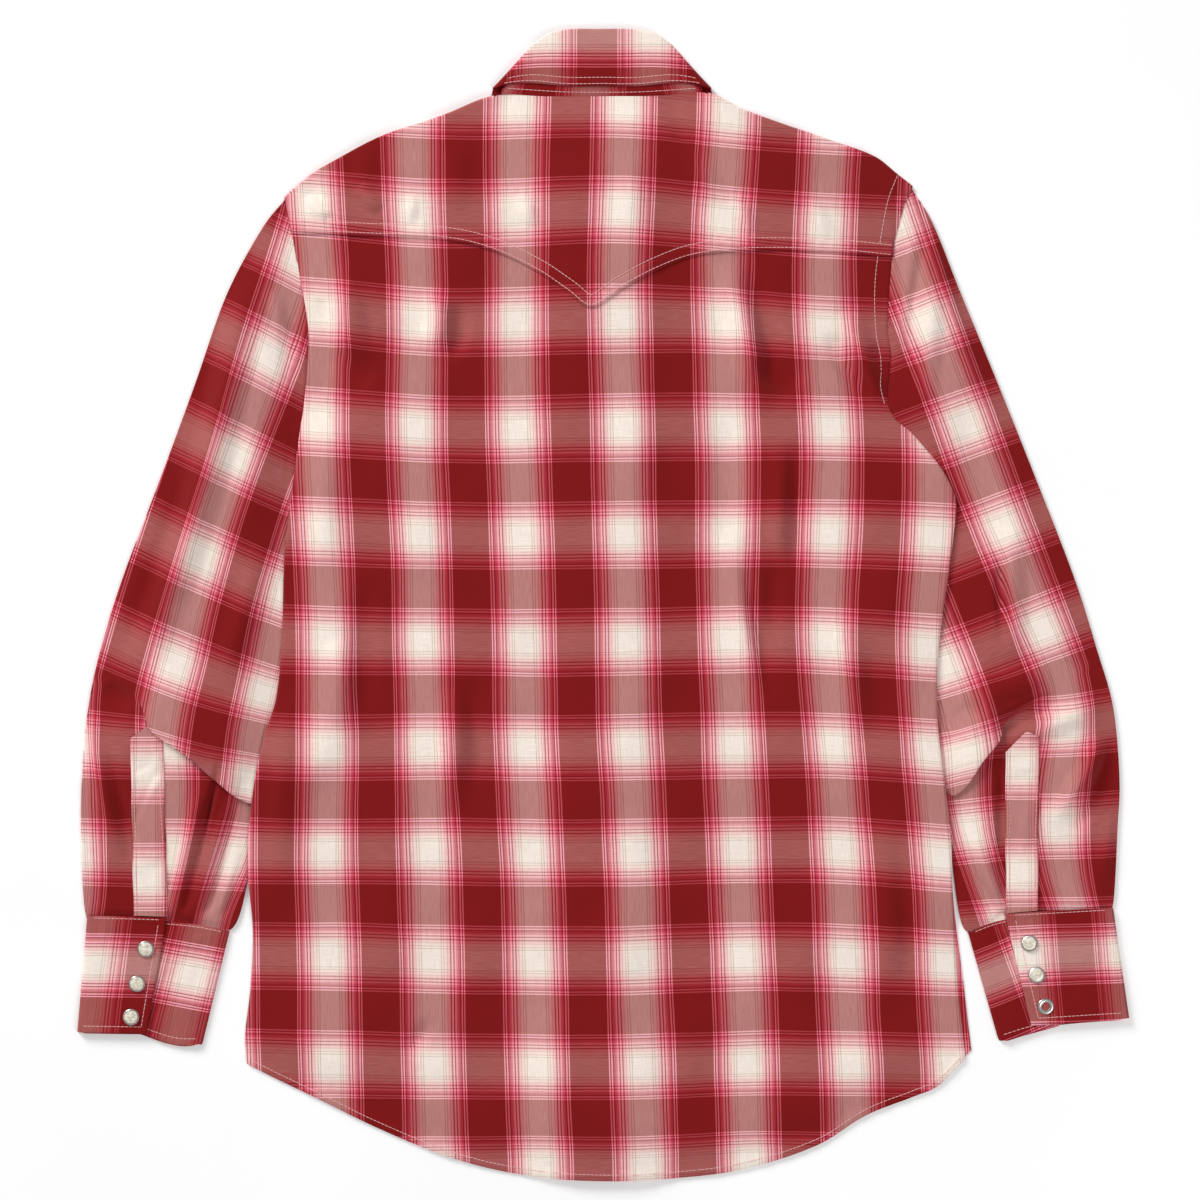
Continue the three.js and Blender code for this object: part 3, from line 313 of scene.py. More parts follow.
inner_left = curve(SLEEVE_LEFT["inner_y"][::-1], SLEEVE_LEFT["inner_x"][::-1])
inner_right = curve(SLEEVE_RIGHT["inner_y"][::-1], SLEEVE_RIGHT["inner_x"][::-1])


def margin_rise(inside, y, underarm):
    along = smooth(-245, -212, y) * (1 - smooth(underarm + 20, underarm + 46, y))
    elbow = ELBOW_RISE * groove(y, -122, 34) * (1 - smooth(4, 46, inside))
    return (MARGIN_RISE * along + elbow) * (1 - smooth(*MARGIN_FALL, inside))


def body_rise(x, y):
    """What the body lies on: the sleeves at its sides, the snaps and the collar's wings."""
    left = margin_rise(x - inner_left(np.minimum(y, UNDERARM_LEFT)), y, UNDERARM_LEFT)
    right = margin_rise(inner_right(np.minimum(y, UNDERARM_RIGHT)) - x, y, UNDERARM_RIGHT)
    placket = (SNAP_HEIGHT + GAP + LAYER) * near_placket(x) * (1 - smooth(304, 350, y))
    neck = NECK_RISE * (1 - smooth(1, 1.6, np.hypot(x / 115, (y - 335) / 100)))
    return left + right + placket + neck


def from_side(x, y):
    """How far a place lies inside the body's nearer side edge."""
    return np.minimum(x - body_left(y), body_right(y) - x)


def body_edge_share(x, y):
    """0 at the body's side edges, 1 well inside."""
    return np.clip(from_side(x, y), 0, 40) / 40


def loft(x, y):
    """Air between the back and the fronts: none at the edges, a little inside."""
    above_hem = y - hem_at(np.clip(x, -259, 265))
    return BODY_LOFT * body_edge_share(x, y) * smooth(2, 40, above_hem)


def folded(x, y, level, folds, uneven):
    """A layer of the back that keeps clear of the fronts under it."""
    height = loft(x, y) + folds + uneven * (0.4 + 0.6 * body_edge_share(x, y))
    return body_rise(x, y) + level + soft_rest(height, -0.35)


def back_height(x, y):
    folds = ridges(BODY_FOLDS, x, y) * smooth(0, 12, from_side(x, y))
    return folded(x, y, BACK_LEVEL, folds, 0.4 * waves(x, y, 3, 95) + 0.2 * waves(x, y, 4, 30))


def yoke_height(x, y):
    folds = ridges(BODY_FOLDS, x, y) * body_edge_share(x, y) + ridges(YOKE_FOLDS, x, y)
    return folded(x, y, YOKE_LEVEL, folds, 0.35 * waves(x, y, 3, 95) + 0.18 * waves(x, y, 5, 27))


# Meshes and cloth pieces
def flat_data(values, kind=np.float32):
    return np.asarray(values).astype(kind).reshape(-1)


def finished(name, mesh, sharp, material):
    """The piece made from a mesh: smooth but for its sharp edges, in one material."""
    mesh.polygons.foreach_set("use_smooth", np.ones(len(mesh.polygons), dtype=bool))
    mesh.set_sharp_from_angle(angle=math.radians(sharp))
    mesh.validate()
    piece = bpy.data.objects.new(name, mesh)
    bpy.context.scene.collection.objects.link(piece)
    piece.data.materials.append(material)
    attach(piece, ROOT)
    return piece


def mesh_of(name, points, faces, coordinates=None):
    """A mesh from points in millimetres and faces that all have as many corners."""
    mesh = bpy.data.meshes.new(name)
    mesh.vertices.add(len(points))
    mesh.vertices.foreach_set("co", flat_data(np.asarray(points) * MM))
    mesh.loops.add(faces.size)
    mesh.loops.foreach_set("vertex_index", flat_data(faces, np.int32))
    mesh.polygons.add(len(faces))
    starts = np.arange(0, faces.size, faces.shape[1], dtype=np.int32)
    mesh.polygons.foreach_set("loop_start", starts)
    mesh.update(calc_edges=True)
    if coordinates is not None:
        mesh.uv_layers.new(name="cloth").data.foreach_set("uv", flat_data(coordinates * MM))
    return mesh


class Cloth:
    """A sheet made of grids of points that share their edges, thickened into one closed wall."""

    def __init__(self, name, thickness=CLOTH):
        self.name, self.thickness = name, thickness
        self.points, self.maps, self.quads = [], [], []
        self.count = 0

    def grid(self, *values):
        """Rows by columns of x, y, z and the check's place u, v.

        Seen from outside the columns run to the right of the rows."""
        values = np.stack(np.broadcast_arrays(*values), -1)
        rows, columns = values.shape[:2]
        number = self.count + np.arange(rows * columns).reshape(rows, columns)
        self.points.append(values[..., :3].reshape(-1, 3))
        self.maps.append(values[..., 3:].reshape(-1, 2))
        self.quads.append(np.stack([number[:-1, :-1], number[:-1, 1:], number[1:, 1:],
                                    number[1:, :-1]], -1).reshape(-1, 4))
        self.count += rows * columns
        return self

    def build(self, material, replaces, flat, held, rests_on, area=None, slot="plaid_cloth"):
        points, maps = np.concatenate(self.points), np.concatenate(self.maps)
        corners = np.concatenate(self.quads)
        _, first, joined = np.unique(np.round(points, 3), axis=0, return_index=True,
                                     return_inverse=True)
        places = points[first]
        quads = joined.reshape(-1)[corners]
        across = np.cross(places[quads[:, 2]] - places[quads[:, 0]],
                          places[quads[:, 3]] - places[quads[:, 1]])
        normals = np.zeros_like(places)
        for corner in range(4):
            np.add.at(normals, quads[:, corner], across)
        normals /= np.maximum(np.linalg.norm(normals, axis=1, keepdims=True), 1e-9)
        half = normals * self.thickness / 2
        # The rim closes the wall along the edges that only one face has
        count = len(places)
        starts, ends = quads.reshape(-1), np.roll(quads, -1, axis=1).reshape(-1)
        rim = ~np.isin(starts * count + ends, ends * count + starts)
        a, b = starts[rim], ends[rim]
        map_a = maps[corners.reshape(-1)[rim]]
        map_b = maps[np.roll(corners, -1, axis=1).reshape(-1)[rim]]
        faces = np.concatenate([quads, quads[:, ::-1] + count,
                                np.stack([a, a + count, b + count, b], -1)])
        coordinates = np.concatenate([maps[corners].reshape(-1, 2),
                                      maps[corners[:, ::-1]].reshape(-1, 2),
                                      np.stack([map_a, map_a, map_b, map_b], 1).reshape(-1, 2)])
        mesh = mesh_of(self.name, np.concatenate([places + half, places - half]), faces,
                       coordinates)
        piece = finished(self.name, mesh, 50, material)
        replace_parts(piece, *replaces)


# Materials
def to_linear(*stops):
    """Stops of a colour ramp, from places and the colours that a screen shows."""
    return [(place, (*((c / 255) ** 2.2 for c in colour), 1.0)) for place, colour in stops]


class Nodes:
    """Short names for making a node tree. Inputs are named, with _ for a space."""

    def __init__(self, name):
        self.material = bpy.data.materials.new(name)
        self.material.use_nodes = True
        self.tree = self.material.node_tree

    def set(self, socket, value):
        if isinstance(value, bpy.types.NodeSocket):
            self.tree.links.new(value, socket)
        else:
            socket.default_value = value

    def fill(self, node, **values):
        for name, value in values.items():
            self.set(node.inputs[name.replace("_", " ")], value)
        return node

    def new(self, kind, **values):
        return self.fill(self.tree.nodes.new(f"ShaderNode{kind}"), **values)

    def shade(self, **values):
        self.fill(self.tree.nodes["Principled BSDF"], **values)
        return self.material

    def math(self, operation, *values, kind="Math"):
        node = self.new(kind)
        node.operation = operation
        for i, value in enumerate(values):
            self.set(node.inputs[3 if operation == "SCALE" and i == 1 else i], value)
        return node.outputs[0]

    def vector(self, operation, *values):
        return self.math(operation, *values, kind="VectorMath")

    def noise(self, where, scale, detail=2.0, roughness=0.5, output="Fac"):
        return self.new("TexNoise", Vector=where, Scale=scale, Detail=detail,
                        Roughness=roughness).outputs[output]

    def cloud(self, *settings):
        """Noise in the piece's own coordinates."""
        return self.noise(self.new("TexCoord").outputs["Object"], *settings)

    def around(self, noise, amount):
        """Noise turned into a number around 0."""
        return self.math("MULTIPLY", self.math("SUBTRACT", noise, 0.5), amount)

    def bump(self, height, strength, distance):
        node = self.new("Bump", Height=height, Strength=strength, Distance=distance)
        return node.outputs[0]

    def ramp(self, factor, stops, interpolation="LINEAR"):
        node = self.new("ValToRGB", Fac=factor)
        ramp = node.color_ramp
        ramp.interpolation = interpolation
        while len(ramp.elements) > 1:
            ramp.elements.remove(ramp.elements[-1])
        ramp.elements[0].position, ramp.elements[0].color = stops[0]
        for place, colour in stops[1:]:
            ramp.elements.new(place).color = colour
        return node.outputs["Color"]


# The check's threads from the middle of the white stripe to the middle of the red one:
# where each starts, in millimetres, and its colour as a screen shows it
RED = (126, 20, 22)
WHITE = (247, 233, 221)
THREADS = (
    (0.0, WHITE), (6.9, (206, 182, 170)), (7.6, (249, 231, 221)), (8.7, (214, 174, 166)),
    (9.4, (252, 222, 214)), (10.3, (247, 207, 201)), (11.1, (220, 156, 157)),
    (11.8, (247, 192, 190)), (12.6, (236, 165, 168)), (13.4, (162, 60, 72)),
    (14.2, (250, 174, 181)), (15.6, (154, 44, 57)), (16.4, (252, 154, 168)),
    (17.6, (211, 90, 106)), (18.8, (190, 62, 79)), (20.2, (128, 10, 24)),
    (21.1, (250, 136, 156)), (22.1, (124, 10, 24)), (22.9, (250, 132, 150)), (23.9, RED))
# How much of the colour comes from the warp, from the weft and from where both are white
WARP_SHARE = 0.50
WEFT_SHARE = 0.325
BOTH_SHARE = 0.175


def plaid(name, sheen=0.12):
    """Plain-woven cotton in a red and white shadow check, with light pink thread lines."""
    n = Nodes(name)
    uv_map = n.new("UVMap")
    uv_map.uv_map = "cloth"
    cloth = uv_map.outputs[0]
    wobble = n.vector("SUBTRACT", n.noise(cloth, 9.0, 1.5, output="Color"), (0.5, 0.5, 0.5))
    moved = n.vector("ADD", cloth, n.vector("SCALE", wobble, 0.0032))
    place = n.new("SeparateXYZ", Vector=moved).outputs
    straight = n.new("SeparateXYZ", Vector=cloth).outputs
    stops = [(start / (REPEAT_ACROSS / 2), (*(c / 255 for c in colour), 1.0))
             for start, colour in THREADS]
    red = tuple(c / 255 for c in RED)
    span = tuple((w - r) / 255 for w, r in zip(WHITE, RED))
    pitch = 2 * math.pi / (0.55 * MM)
    yarns, shown, weave = [], [], []
    for axis, repeat, share in ((0, REPEAT_ACROSS, WARP_SHARE), (1, REPEAT_ALONG, WEFT_SHARE)):
        half = repeat * MM / 2
        at = n.math("DIVIDE", n.math("PINGPONG", place[axis], half), half)
        yarns.append(n.vector("SUBTRACT", n.ramp(at, stops, "CONSTANT"), red))
        # Uneven yarns: slubs along each thread change how much of it shows
        grain = (90.0, 2600.0, 1.0) if axis else (2600.0, 90.0, 1.0)
        slub = n.around(n.noise(n.vector("MULTIPLY", cloth, grain), 1.0, 1.0), 0.2)
        shown.append(n.vector("SCALE", yarns[axis], n.math("ADD", slub, share)))
        weave.append(n.math("SINE", n.math("MULTIPLY", straight[axis], pitch)))
    both = n.vector("DIVIDE", n.vector("MULTIPLY", *yarns), span)
    total = n.vector("ADD", n.vector("ADD", *shown), n.vector("SCALE", both, BOTH_SHARE))
    total = n.vector("ADD", total, red)
    # Faded and darker patches, very slight
    total = n.vector("SCALE", total, n.math("ADD", n.around(n.noise(cloth, 14.0), 0.05), 1.0))
    # Weave and yarn relief
    crinkle = n.math("MULTIPLY", n.noise(cloth, 160.0, 3.0, 0.6), 1.6)
    relief = n.math("ADD", n.math("MULTIPLY", n.math("MULTIPLY", *weave), 0.25), crinkle)
    return n.shade(Base_Color=n.new("Gamma", Color=total, Gamma=2.2).outputs[0],
                   Normal=n.bump(relief, 0.25, 0.0006), Roughness=0.86,
                   Specular_IOR_Level=0.12, Sheen_Weight=sheen, Sheen_Roughness=0.5)


def thread_material():
    """Glossy light pink sewing thread."""
    n = Nodes("sewing_thread")
    tone = n.ramp(n.cloud(900.0, 1.0), to_linear((0.3, (226, 158, 160)), (0.7, (244, 198, 194))))
    return n.shade(Base_Color=tone, Roughness=0.55)


def pearl_material():
    """Milky pearl with soft cloudy swirls."""
    n = Nodes("pearl_cap")
    cloud = n.cloud(420.0, 4.0, 0.65)
    tone = n.ramp(cloud, to_linear((0.34, (178, 166, 144)), (0.46, (214, 205, 186)),
                                   (0.56, (235, 228, 211)), (0.68, (250, 245, 232))))
    return n.shade(Base_Color=tone, Normal=n.bump(cloud, 0.15, 0.0004), Roughness=0.22,
                   Coat_Weight=0.5, Coat_Roughness=0.08)


def metal_material():
    """Nickel-plated snap metal with fine handling marks."""
    n = Nodes("snap_metal")
    marks = n.cloud(1400.0, 3.0, 0.7)
    tone = n.ramp(marks, to_linear((0.3, (176, 172, 168)), (0.7, (222, 219, 214))))
    rough = n.new("MapRange", Value=marks, To_Min=0.16, To_Max=0.38).outputs[0]
    return n.shade(Base_Color=tone, Roughness=rough, Metallic=1.0)


def floor_material():
    n = Nodes("pale_floor")
    tone = n.ramp(n.cloud(3.0), [(0.3, (0.86, 0.86, 0.86, 1)), (0.7, (0.9, 0.9, 0.9, 1))])
    return n.shade(Base_Color=tone, Roughness=0.8, Emission_Color=(1.0, 1.0, 1.0, 1.0),
                   Emission_Strength=0.16)


PLAID = plaid("plaid_cotton")
PLAID_TRIM = plaid("plaid_trim", sheen=0.1)
THREAD = thread_material()
PEARL = pearl_material()
METAL = metal_material()


CHART_GIVE = 40.0      # how softly the check passes its charted places


# How the check lies on each piece, from charted places of its crossings.
# Each place is x, y and the crossing's number across and along; whole numbers are white
# squares, halves are red ones. Between the places the check runs smoothly.
class Chart:
    """Gives the check's place on the cloth at any x, y. It gives way a little at its crossings."""

    def __init__(self, *places):
        data = np.array(places, float)
        self.at = data[:, :2]
        count = len(data)
        system = np.zeros((count + 3, count + 3))
        bend = self.bend(self.at[:, 0], self.at[:, 1])
        system[:count, :count] = bend + CHART_GIVE * np.eye(count)
        system[:count, count:] = np.column_stack([np.ones(count), self.at])
        system[count:, :count] = system[:count, count:].T
        values = np.zeros((count + 3, 2))
        values[:count] = data[:, 2:] * (REPEAT_ACROSS, REPEAT_ALONG)
        self.weights = np.linalg.solve(system, values)

    def bend(self, x, y):
        away = ((np.asarray(x)[..., None] - self.at[:, 0]) ** 2
                + (np.asarray(y)[..., None] - self.at[:, 1]) ** 2)
        return 0.5 * away * np.log(np.maximum(away, 1e-6)) / 100

    def __call__(self, x, y):
        plane = np.stack([np.ones_like(x), x, y], -1)
        value = self.bend(x, y) @ self.weights[:-3] + plane @ self.weights[-3:]
        return value[..., 0], value[..., 1]


def crossings(*rows):
    """Places row by row: the row's number, the number of its first crossing, its crossings."""
    return [(x, y, first + i, number) for number, first, *places in rows
            for i, (x, y) in enumerate(places)]


BODY_CHART = Chart(*crossings(
    (1, -1, (-62, 363.7), (16.1, 365.9), (94.2, 357.9)),
    (0, -3, (-211.7, 293.6), (-137.2, 285.6), (-62.8, 286.3), (15.3, 290.7), (86.9, 280.5),
     (162.8, 276.9)),
    (-1, -3, (-204.4, 215.5), (-134.3, 206), (-62.8, 207.5), (13.1, 208.2), (89.8, 209.7),
     (162.1, 200.9)),
    (-2, -3, (-208, 133.8), (-136.5, 129.4), (-62, 128.7), (15.3, 130.1), (91.2, 129.4),
     (168.6, 130.9)),
    (-3, -3, (-203.7, 53.5), (-132.1, 50.6), (-59.1, 50.6), (16.8, 52), (92, 51.3),
     (165.7, 52.7), (243.1, 52)),
    (-4, -3, (-200, -26.1), (-131.4, -26.8), (-56.9, -27.6), (19, -26.1), (92.7, -25.4),
     (163.5, -25.4), (235.8, -34)),
    (-5, -3, (-199.3, -104.9), (-129.9, -102), (-55.5, -104.9), (20.4, -103.5), (97.1, -102.7),
     (170.1, -102), (239.4, -105.7)),
    (-6, -3, (-202.2, -179.4), (-126.3, -179.4), (-51.1, -180.1), (24.8, -180.1),
     (100, -177.9), (175.2, -177.9), (247.5, -185.2)),
    (-7, -3, (-198.6, -256), (-124.1, -258.2), (-48.9, -259), (26.3, -258.2), (102.2, -256.8),
     (178.8, -256.8), (249.7, -262.6)),
    (-8, -3, (-198.6, -336.3), (-123.4, -337.8), (-46.7, -337.8), (29.9, -338.5),
     (105.8, -336.3), (182.5, -335.6), (255.5, -335.6)),
    (-9, -1, (-44.5, -409.3), (32.1, -410.8), (107.3, -405.7))))
LEFT_UPPER = Chart(
    (-243.8, 182.7, 0, 3), (-265.7, 106, 0, 2), (-289.1, 33.8, 0, 1), (-307.3, -42.9, 0, 0),
    (-277, 199, -0.5, 3), (-296.4, 123.9, -0.5, 2), (-323, 51.3, -0.5, 1), (-346, -30, -0.5, 0),
    (-359.3, -62.5, -0.5, -0.5), (-319.5, -80.2, 0, -0.5), (-285.8, -89.5, 0.5, -0.5),
    (-248.5, -68.6, 1, 0), (-257.5, -96, 1, -0.5), (-258, -120, 1, -1), (-283, -118, 0.5, -0.85),
    (-233, 10, 1, 1), (-212, 84, 1, 2), (-208, 160, 0.5, 3), (-357, -102.3, -0.5, -1))
LEFT_LOWER = Chart(
    (-289.1, 33.8, 0, 1), (-307.3, -42.9, 0, 0), (-323, 51.3, -0.5, 1), (-346, -30, -0.5, 0),
    (-359.3, -62.5, -0.5, -0.5), (-376, -62, -0.85, -0.5), (-380, -101, -0.93, -1),
    (-380, -141, -0.9, -1.5), (-380, -181, -0.88, -2), (-375, -219, -0.86, -2.5),
    (-367, -101, -0.69, -1), (-363, -141, -0.69, -1.5), (-363, -181, -0.69, -2),
    (-362, -219, -0.69, -2.5), (-355.6, -102.3, -0.5, -1), (-351, -141.9, -0.5, -1.5),
    (-350, -180.9, -0.5, -2), (-349, -219, -0.5, -2.5), (-316, -103, 0, -1),
    (-315, -141, 0, -1.5), (-313.5, -180, 0, -2), (-315, -222, 0, -2.5),
    (-285, -103, 0.5, -1), (-289.7, -139, 0.33, -1.5), (-279, -142, 0.5, -1.5),
    (-294, -184, 0.5, -2), (-306, -222, 0.5, -2.5), (-258, -145, 1, -1.5),
    (-270.5, -186, 1, -2), (-287, -224, 1, -2.5), (-258, -200, 1.3, -2.2),
    (-275, -228, 1.4, -2.6))
RIGHT_UPPER = Chart(
    (238, 206, 0, 4), (265, 131.6, 0, 3), (292.7, 57.1, 0, 2), (319.7, -16.6, 0, 1),
    (342.4, -88.9, 0, 0), (194, 105, -1, 3), (221, 31, -1, 2), (248.2, -47.5, -1, 1),
    (268.5, -108, -1, 0), (263.3, -80.2, -1, 0.5), (297.3, -65.1, -0.5, 0.5),
    (338.7, -53.8, 0, 0.5), (309.8, -90.3, -0.5, 0.05), (273, 218.5, 0.5, 4), (300, 144.2, 0.5, 3),
    (327.8, 69.8, 0.5, 2), (354.8, -4, 0.5, 1), (375, -80, 0.5, 0), (257.5, -132, -1, -0.35))
RIGHT_LOWER = Chart(
    (342.4, -88.9, 0, 0), (371.4, -84, 0.5, 0), (309.8, -90.3, -0.5, 0), (338.7, -53.8, 0, 0.5),
    (338.7, -125.4, 0, -0.5), (367.7, -120.4, 0.5, -0.5), (338.8, -161.9, 0, -1),
    (368.9, -159.4, 0.5, -1), (338.7, -198.4, 0, -1.5), (368.9, -200.9, 0.5, -1.5),
    (289.7, -117.9, -0.5, -0.5), (265.5, -130, -1, -0.5), (270.8, -166.9, -1, -1),
    (290.5, -161.9, -0.5, -1), (279.5, -202.1, -1, -1.5), (291.5, -198, -0.6, -1.5),
    (262, -204, -1.5, -1.5), (270, -230, -1.5, -1.9), (354.8, -4, 0.5, 1), (319.7, -16.6, 0, 1))


def on_chart(chart, folds, x, y):
    """The check's place on the cloth, drawn a little aside by the folds."""
    _, pull_x, pull_y = fold_field(folds, x, y)
    return chart(x + pull_x, y + pull_y)


def body_grid(rows, columns, hem_short=0.0):
    """Places on the body below the yoke: row share 0 on the yoke's edge, 1 on the hem."""
    row, column = np.meshgrid(rows, columns, indexing="ij")
    top_x = mix(body_left(YOKE_END_LEFT), body_right(YOKE_END_RIGHT), column)
    hem_x = mix(body_left(HEM_END_LEFT), body_right(HEM_END_RIGHT), column)
    y = mix(yoke_edge_at(top_x), hem_at(hem_x) + hem_short, row)
    return mix(body_left(y), body_right(y), column), y, row, column


def back_panel():
    # The columns stand close near both side edges, which turn down
    close = np.arange(0, 4.0, 0.8) / 500
    columns = np.concatenate([close, np.linspace(0.008, 0.992, 166), 1 - close[::-1]])
    rows = np.concatenate([[-0.014], np.linspace(0, 0.985, 222), [0.989, 0.993, 0.9965, 1.0]])
    x, y, row, _ = body_grid(rows, columns)
    z = back_height(x, y) - curl(from_side(x, y), 3.0, 1.3)
    # The hem's band and the puckers along its stitches
    hem_gap = (1 - row) * 600
    pucker = 1 + 0.35 * np.sin(x / 1.7 + 3 * np.sin(x / 13))
    z += 0.45 * (1 - smooth(5.5, 7.5, hem_gap)) * pucker
    z -= curl(hem_gap, 1.8, 0.7)
    u, v = on_chart(BODY_CHART, BODY_FOLDS, x, y)
    Cloth("back_cloth").grid(*(part[::-1] for part in (x, y, z, u, v))).build(
        PLAID, ["back_panel"], (0.525, 0.7), "laid", ["front_left", "front_right"], area=0.32)


YOKE_BAND = 8.5        # width of the yoke's doubled edge, and how much it rises
YOKE_BAND_RISE = 0.55
YOKE_FOLD = 1.35       # radius of the fold along the shoulders
YOKE_FRONT = (20.0, 30.0)      # how far the yoke goes down in front, at the armhole and the neck


def yoke_band(inside):
    """Rise of the yoke's doubled edge."""
    return YOKE_BAND_RISE * (1 - smooth(YOKE_BAND - 0.8, YOKE_BAND + 1.2, inside))


def way_out(edge_at, x, step):
    """The way out across an edge that is drawn along x, as a unit vector."""
    slope = (edge_at(x + step) - edge_at(x - step)) / (2 * step)
    length = np.hypot(slope, 1)
    return -slope / length, 1 / length


def shoulder_side(share, left):
    """A place on a shoulder line, from its left end to its right, and the way out of the shirt."""
    x = mix(TIP_LEFT, NECK_LEFT, share) if left else mix(NECK_RIGHT, TIP_RIGHT, share)
    return x, shoulder_at(x), *way_out(shoulder_at, x, 4.0)


def inward(line, depth):
    """The places a depth inside a line, which is given with its way out."""
    x, y, out_x, out_y = line
    return x - out_x * depth, y - out_y * depth


def yoke():
    """The yoke over the back, round the shoulders and down to the shoulder seams in front."""
    cloth = Cloth("yoke_cloth")
    side, neck = np.linspace(0, 1, 76), np.linspace(0, 1, 79)
    left, right = shoulder_side(side, True), shoulder_side(side, False)
    neck_x = mix(NECK_LEFT, NECK_RIGHT, neck)[1:-1]
    ends = (inward(left, YOKE_FOLD), (neck_x, shoulder_at(neck_x) - GAP),
            inward(right, YOKE_FOLD))
    end_x, end_y = (np.concatenate(part) for part in zip(*ends))
    bottom_share = np.concatenate([mix(0, 0.333, side), mix(0.333, 0.667, neck)[1:-1],
                                   mix(0.667, 1, side)])
    start_x = mix(body_left(YOKE_END_LEFT), body_right(YOKE_END_RIGHT), bottom_share)
    start_y = yoke_edge_at(start_x)
    close = np.array([0, 0.7, 1.5, 2.6, 4.0, 5.6, 7.2, 8.4, 9.6, 11.5]) / 120
    row = np.concatenate([close, np.linspace(0.12, 1, 56)])[:, None]
    x, y = mix(start_x, end_x, row), mix(start_y, end_y, row)
    x[:, 0], x[:, -1] = body_left(y[:, 0]), body_right(y[:, -1])
    inside = np.hypot(x - start_x, y - start_y)
    z = yoke_height(x, y) + yoke_band(inside) - curl(inside, 1.6, 1.0)
    z += 0.16 * groove(inside, 5, 5) * np.sin(x / 1.5 + 2.5 * np.sin(x / 11))
    # Sewn down to the collar stand along the neck
    to_neck = np.hypot(x - end_x, y - end_y)
    seam = (1 - smooth(1, 24, to_neck)) * (1 - smooth(68, 84, np.abs(x)))
    z -= (loft(x, y) - 0.3) * seam + curl(from_side(x, y), 2.5, 1.0)
    u, v = on_chart(BODY_CHART, YOKE_FOLDS, x, y)
    cloth.grid(x, y, z, u, v)
    # Round each shoulder fold and down the front
    for line, share, columns in ((left, side, slice(0, 76)), (right, 1 - side, slice(-76, None))):
        depth = mix(*YOKE_FRONT, share)
        top = z[-1, columns]
        base = inward(line, YOKE_FOLD)
        low = body_rise(*base) + FLOOR_LEVEL
        grids = [(*base, top)]
        for angle in np.linspace(0, math.pi, 9)[1:]:
            around = inward((*base, *line[2:]), -math.sin(angle) * YOKE_FOLD)
            grids.append((*around, mix(top, low, (1 - math.cos(angle)) / 2)))
        for t in np.linspace(0, 1, 7)[1:]:
            down = inward(line, mix(YOKE_FOLD, depth, t))
            grids.append((*down, body_rise(*down) + FLOOR_LEVEL))
        gx, gy, gz = (np.array(part) for part in zip(*grids))
        steps = np.hypot(np.diff(gy[:, 20]), np.diff(gz[:, 20]))
        travel = np.concatenate([[0], np.cumsum(steps)])[:, None]
        cloth.grid(gx, gy, gz, u[-1, columns], v[-1, columns] + travel)
    cloth.build(PLAID, ["yoke"], (0.475, 0.155), "folded",
                ["back_panel", "front_left", "front_right"], area=0.058)


HEM_SHORT = 6.0        # how much shorter the fronts are than the back
NECK_SHARE = 0.7       # share of a front's top at which the neckline starts


def front(left):
    """One of the hidden fronts, which lie on the surface under the back."""
    columns = np.linspace(0, 0.5, 44) if left else np.linspace(0.5, 1, 44)
    _, y, _, column = body_grid(np.linspace(1, 0, 110), columns, HEM_SHORT)
    if left:
        edge = -PLACKET_HALF - GAP
        x = mix(body_left(y), edge, column * 2)
    else:
        # The right front shows a little past the back's edge near the hem
        edge = -PLACKET_HALF + 3
        x = mix(edge, body_right(y) + 5.0 * smooth(-190, -300, y), column * 2 - 1)
    # Above the yoke's edge the front runs on to the shoulder seam and the neckline
    top_share = np.linspace(0, 1, 44) if left else np.linspace(1, 0, 44)
    t = np.clip(top_share / NECK_SHARE, 0, 1)
    seam = inward(shoulder_side(t if left else 1 - t, left), mix(*YOKE_FRONT, t) + GAP)
    neck_x = mix(-67.5 if left else 66.5, edge, (top_share - NECK_SHARE) / 0.3)
    end_x = np.where(top_share > NECK_SHARE, neck_x, seam[0])
    end_y = np.where(top_share > NECK_SHARE, front_neck_at(neck_x), seam[1])
    up = np.linspace(0, 1, 26)[1:, None]
    x = np.concatenate([x, mix(x[-1], end_x, up)])
    y = np.concatenate([y, mix(y[-1], end_y, up)])
    z = body_rise(x, y) + FLOOR_LEVEL - (LAYER * near_placket(x) if left else 0)
    u, v = BODY_CHART(x, y)
    side = "left" if left else "right"
    Cloth(f"front_cloth_{side}").grid(x, y, z, u + 9, v).build(
        PLAID, [f"front_{side}"], (0.26, 0.76), "laid", [f"sleeve_{side}"],
        area=0.158 if left else 0.18)


def front_placket():
    row, column = np.linspace(1, 0, 150)[:, None], np.linspace(-1, 1, 13)
    x = column * (PLACKET_HALF - GAP / 2)
    y = mix(front_neck_at(x), hem_at(x) + HEM_SHORT, row)
    z = body_rise(0, y) - LAYER + FLOOR_LEVEL - curl(PLACKET_HALF - np.abs(x), 1.2, -0.4)
    Cloth("front_placket_cloth", DOUBLE_CLOTH).grid(x, y, z, x + 30, y - 286.0).build(
        PLAID_TRIM, ["front_placket"], (0.0317, 0.714), "laid", ["front_right"],
        slot="plaid_trim")


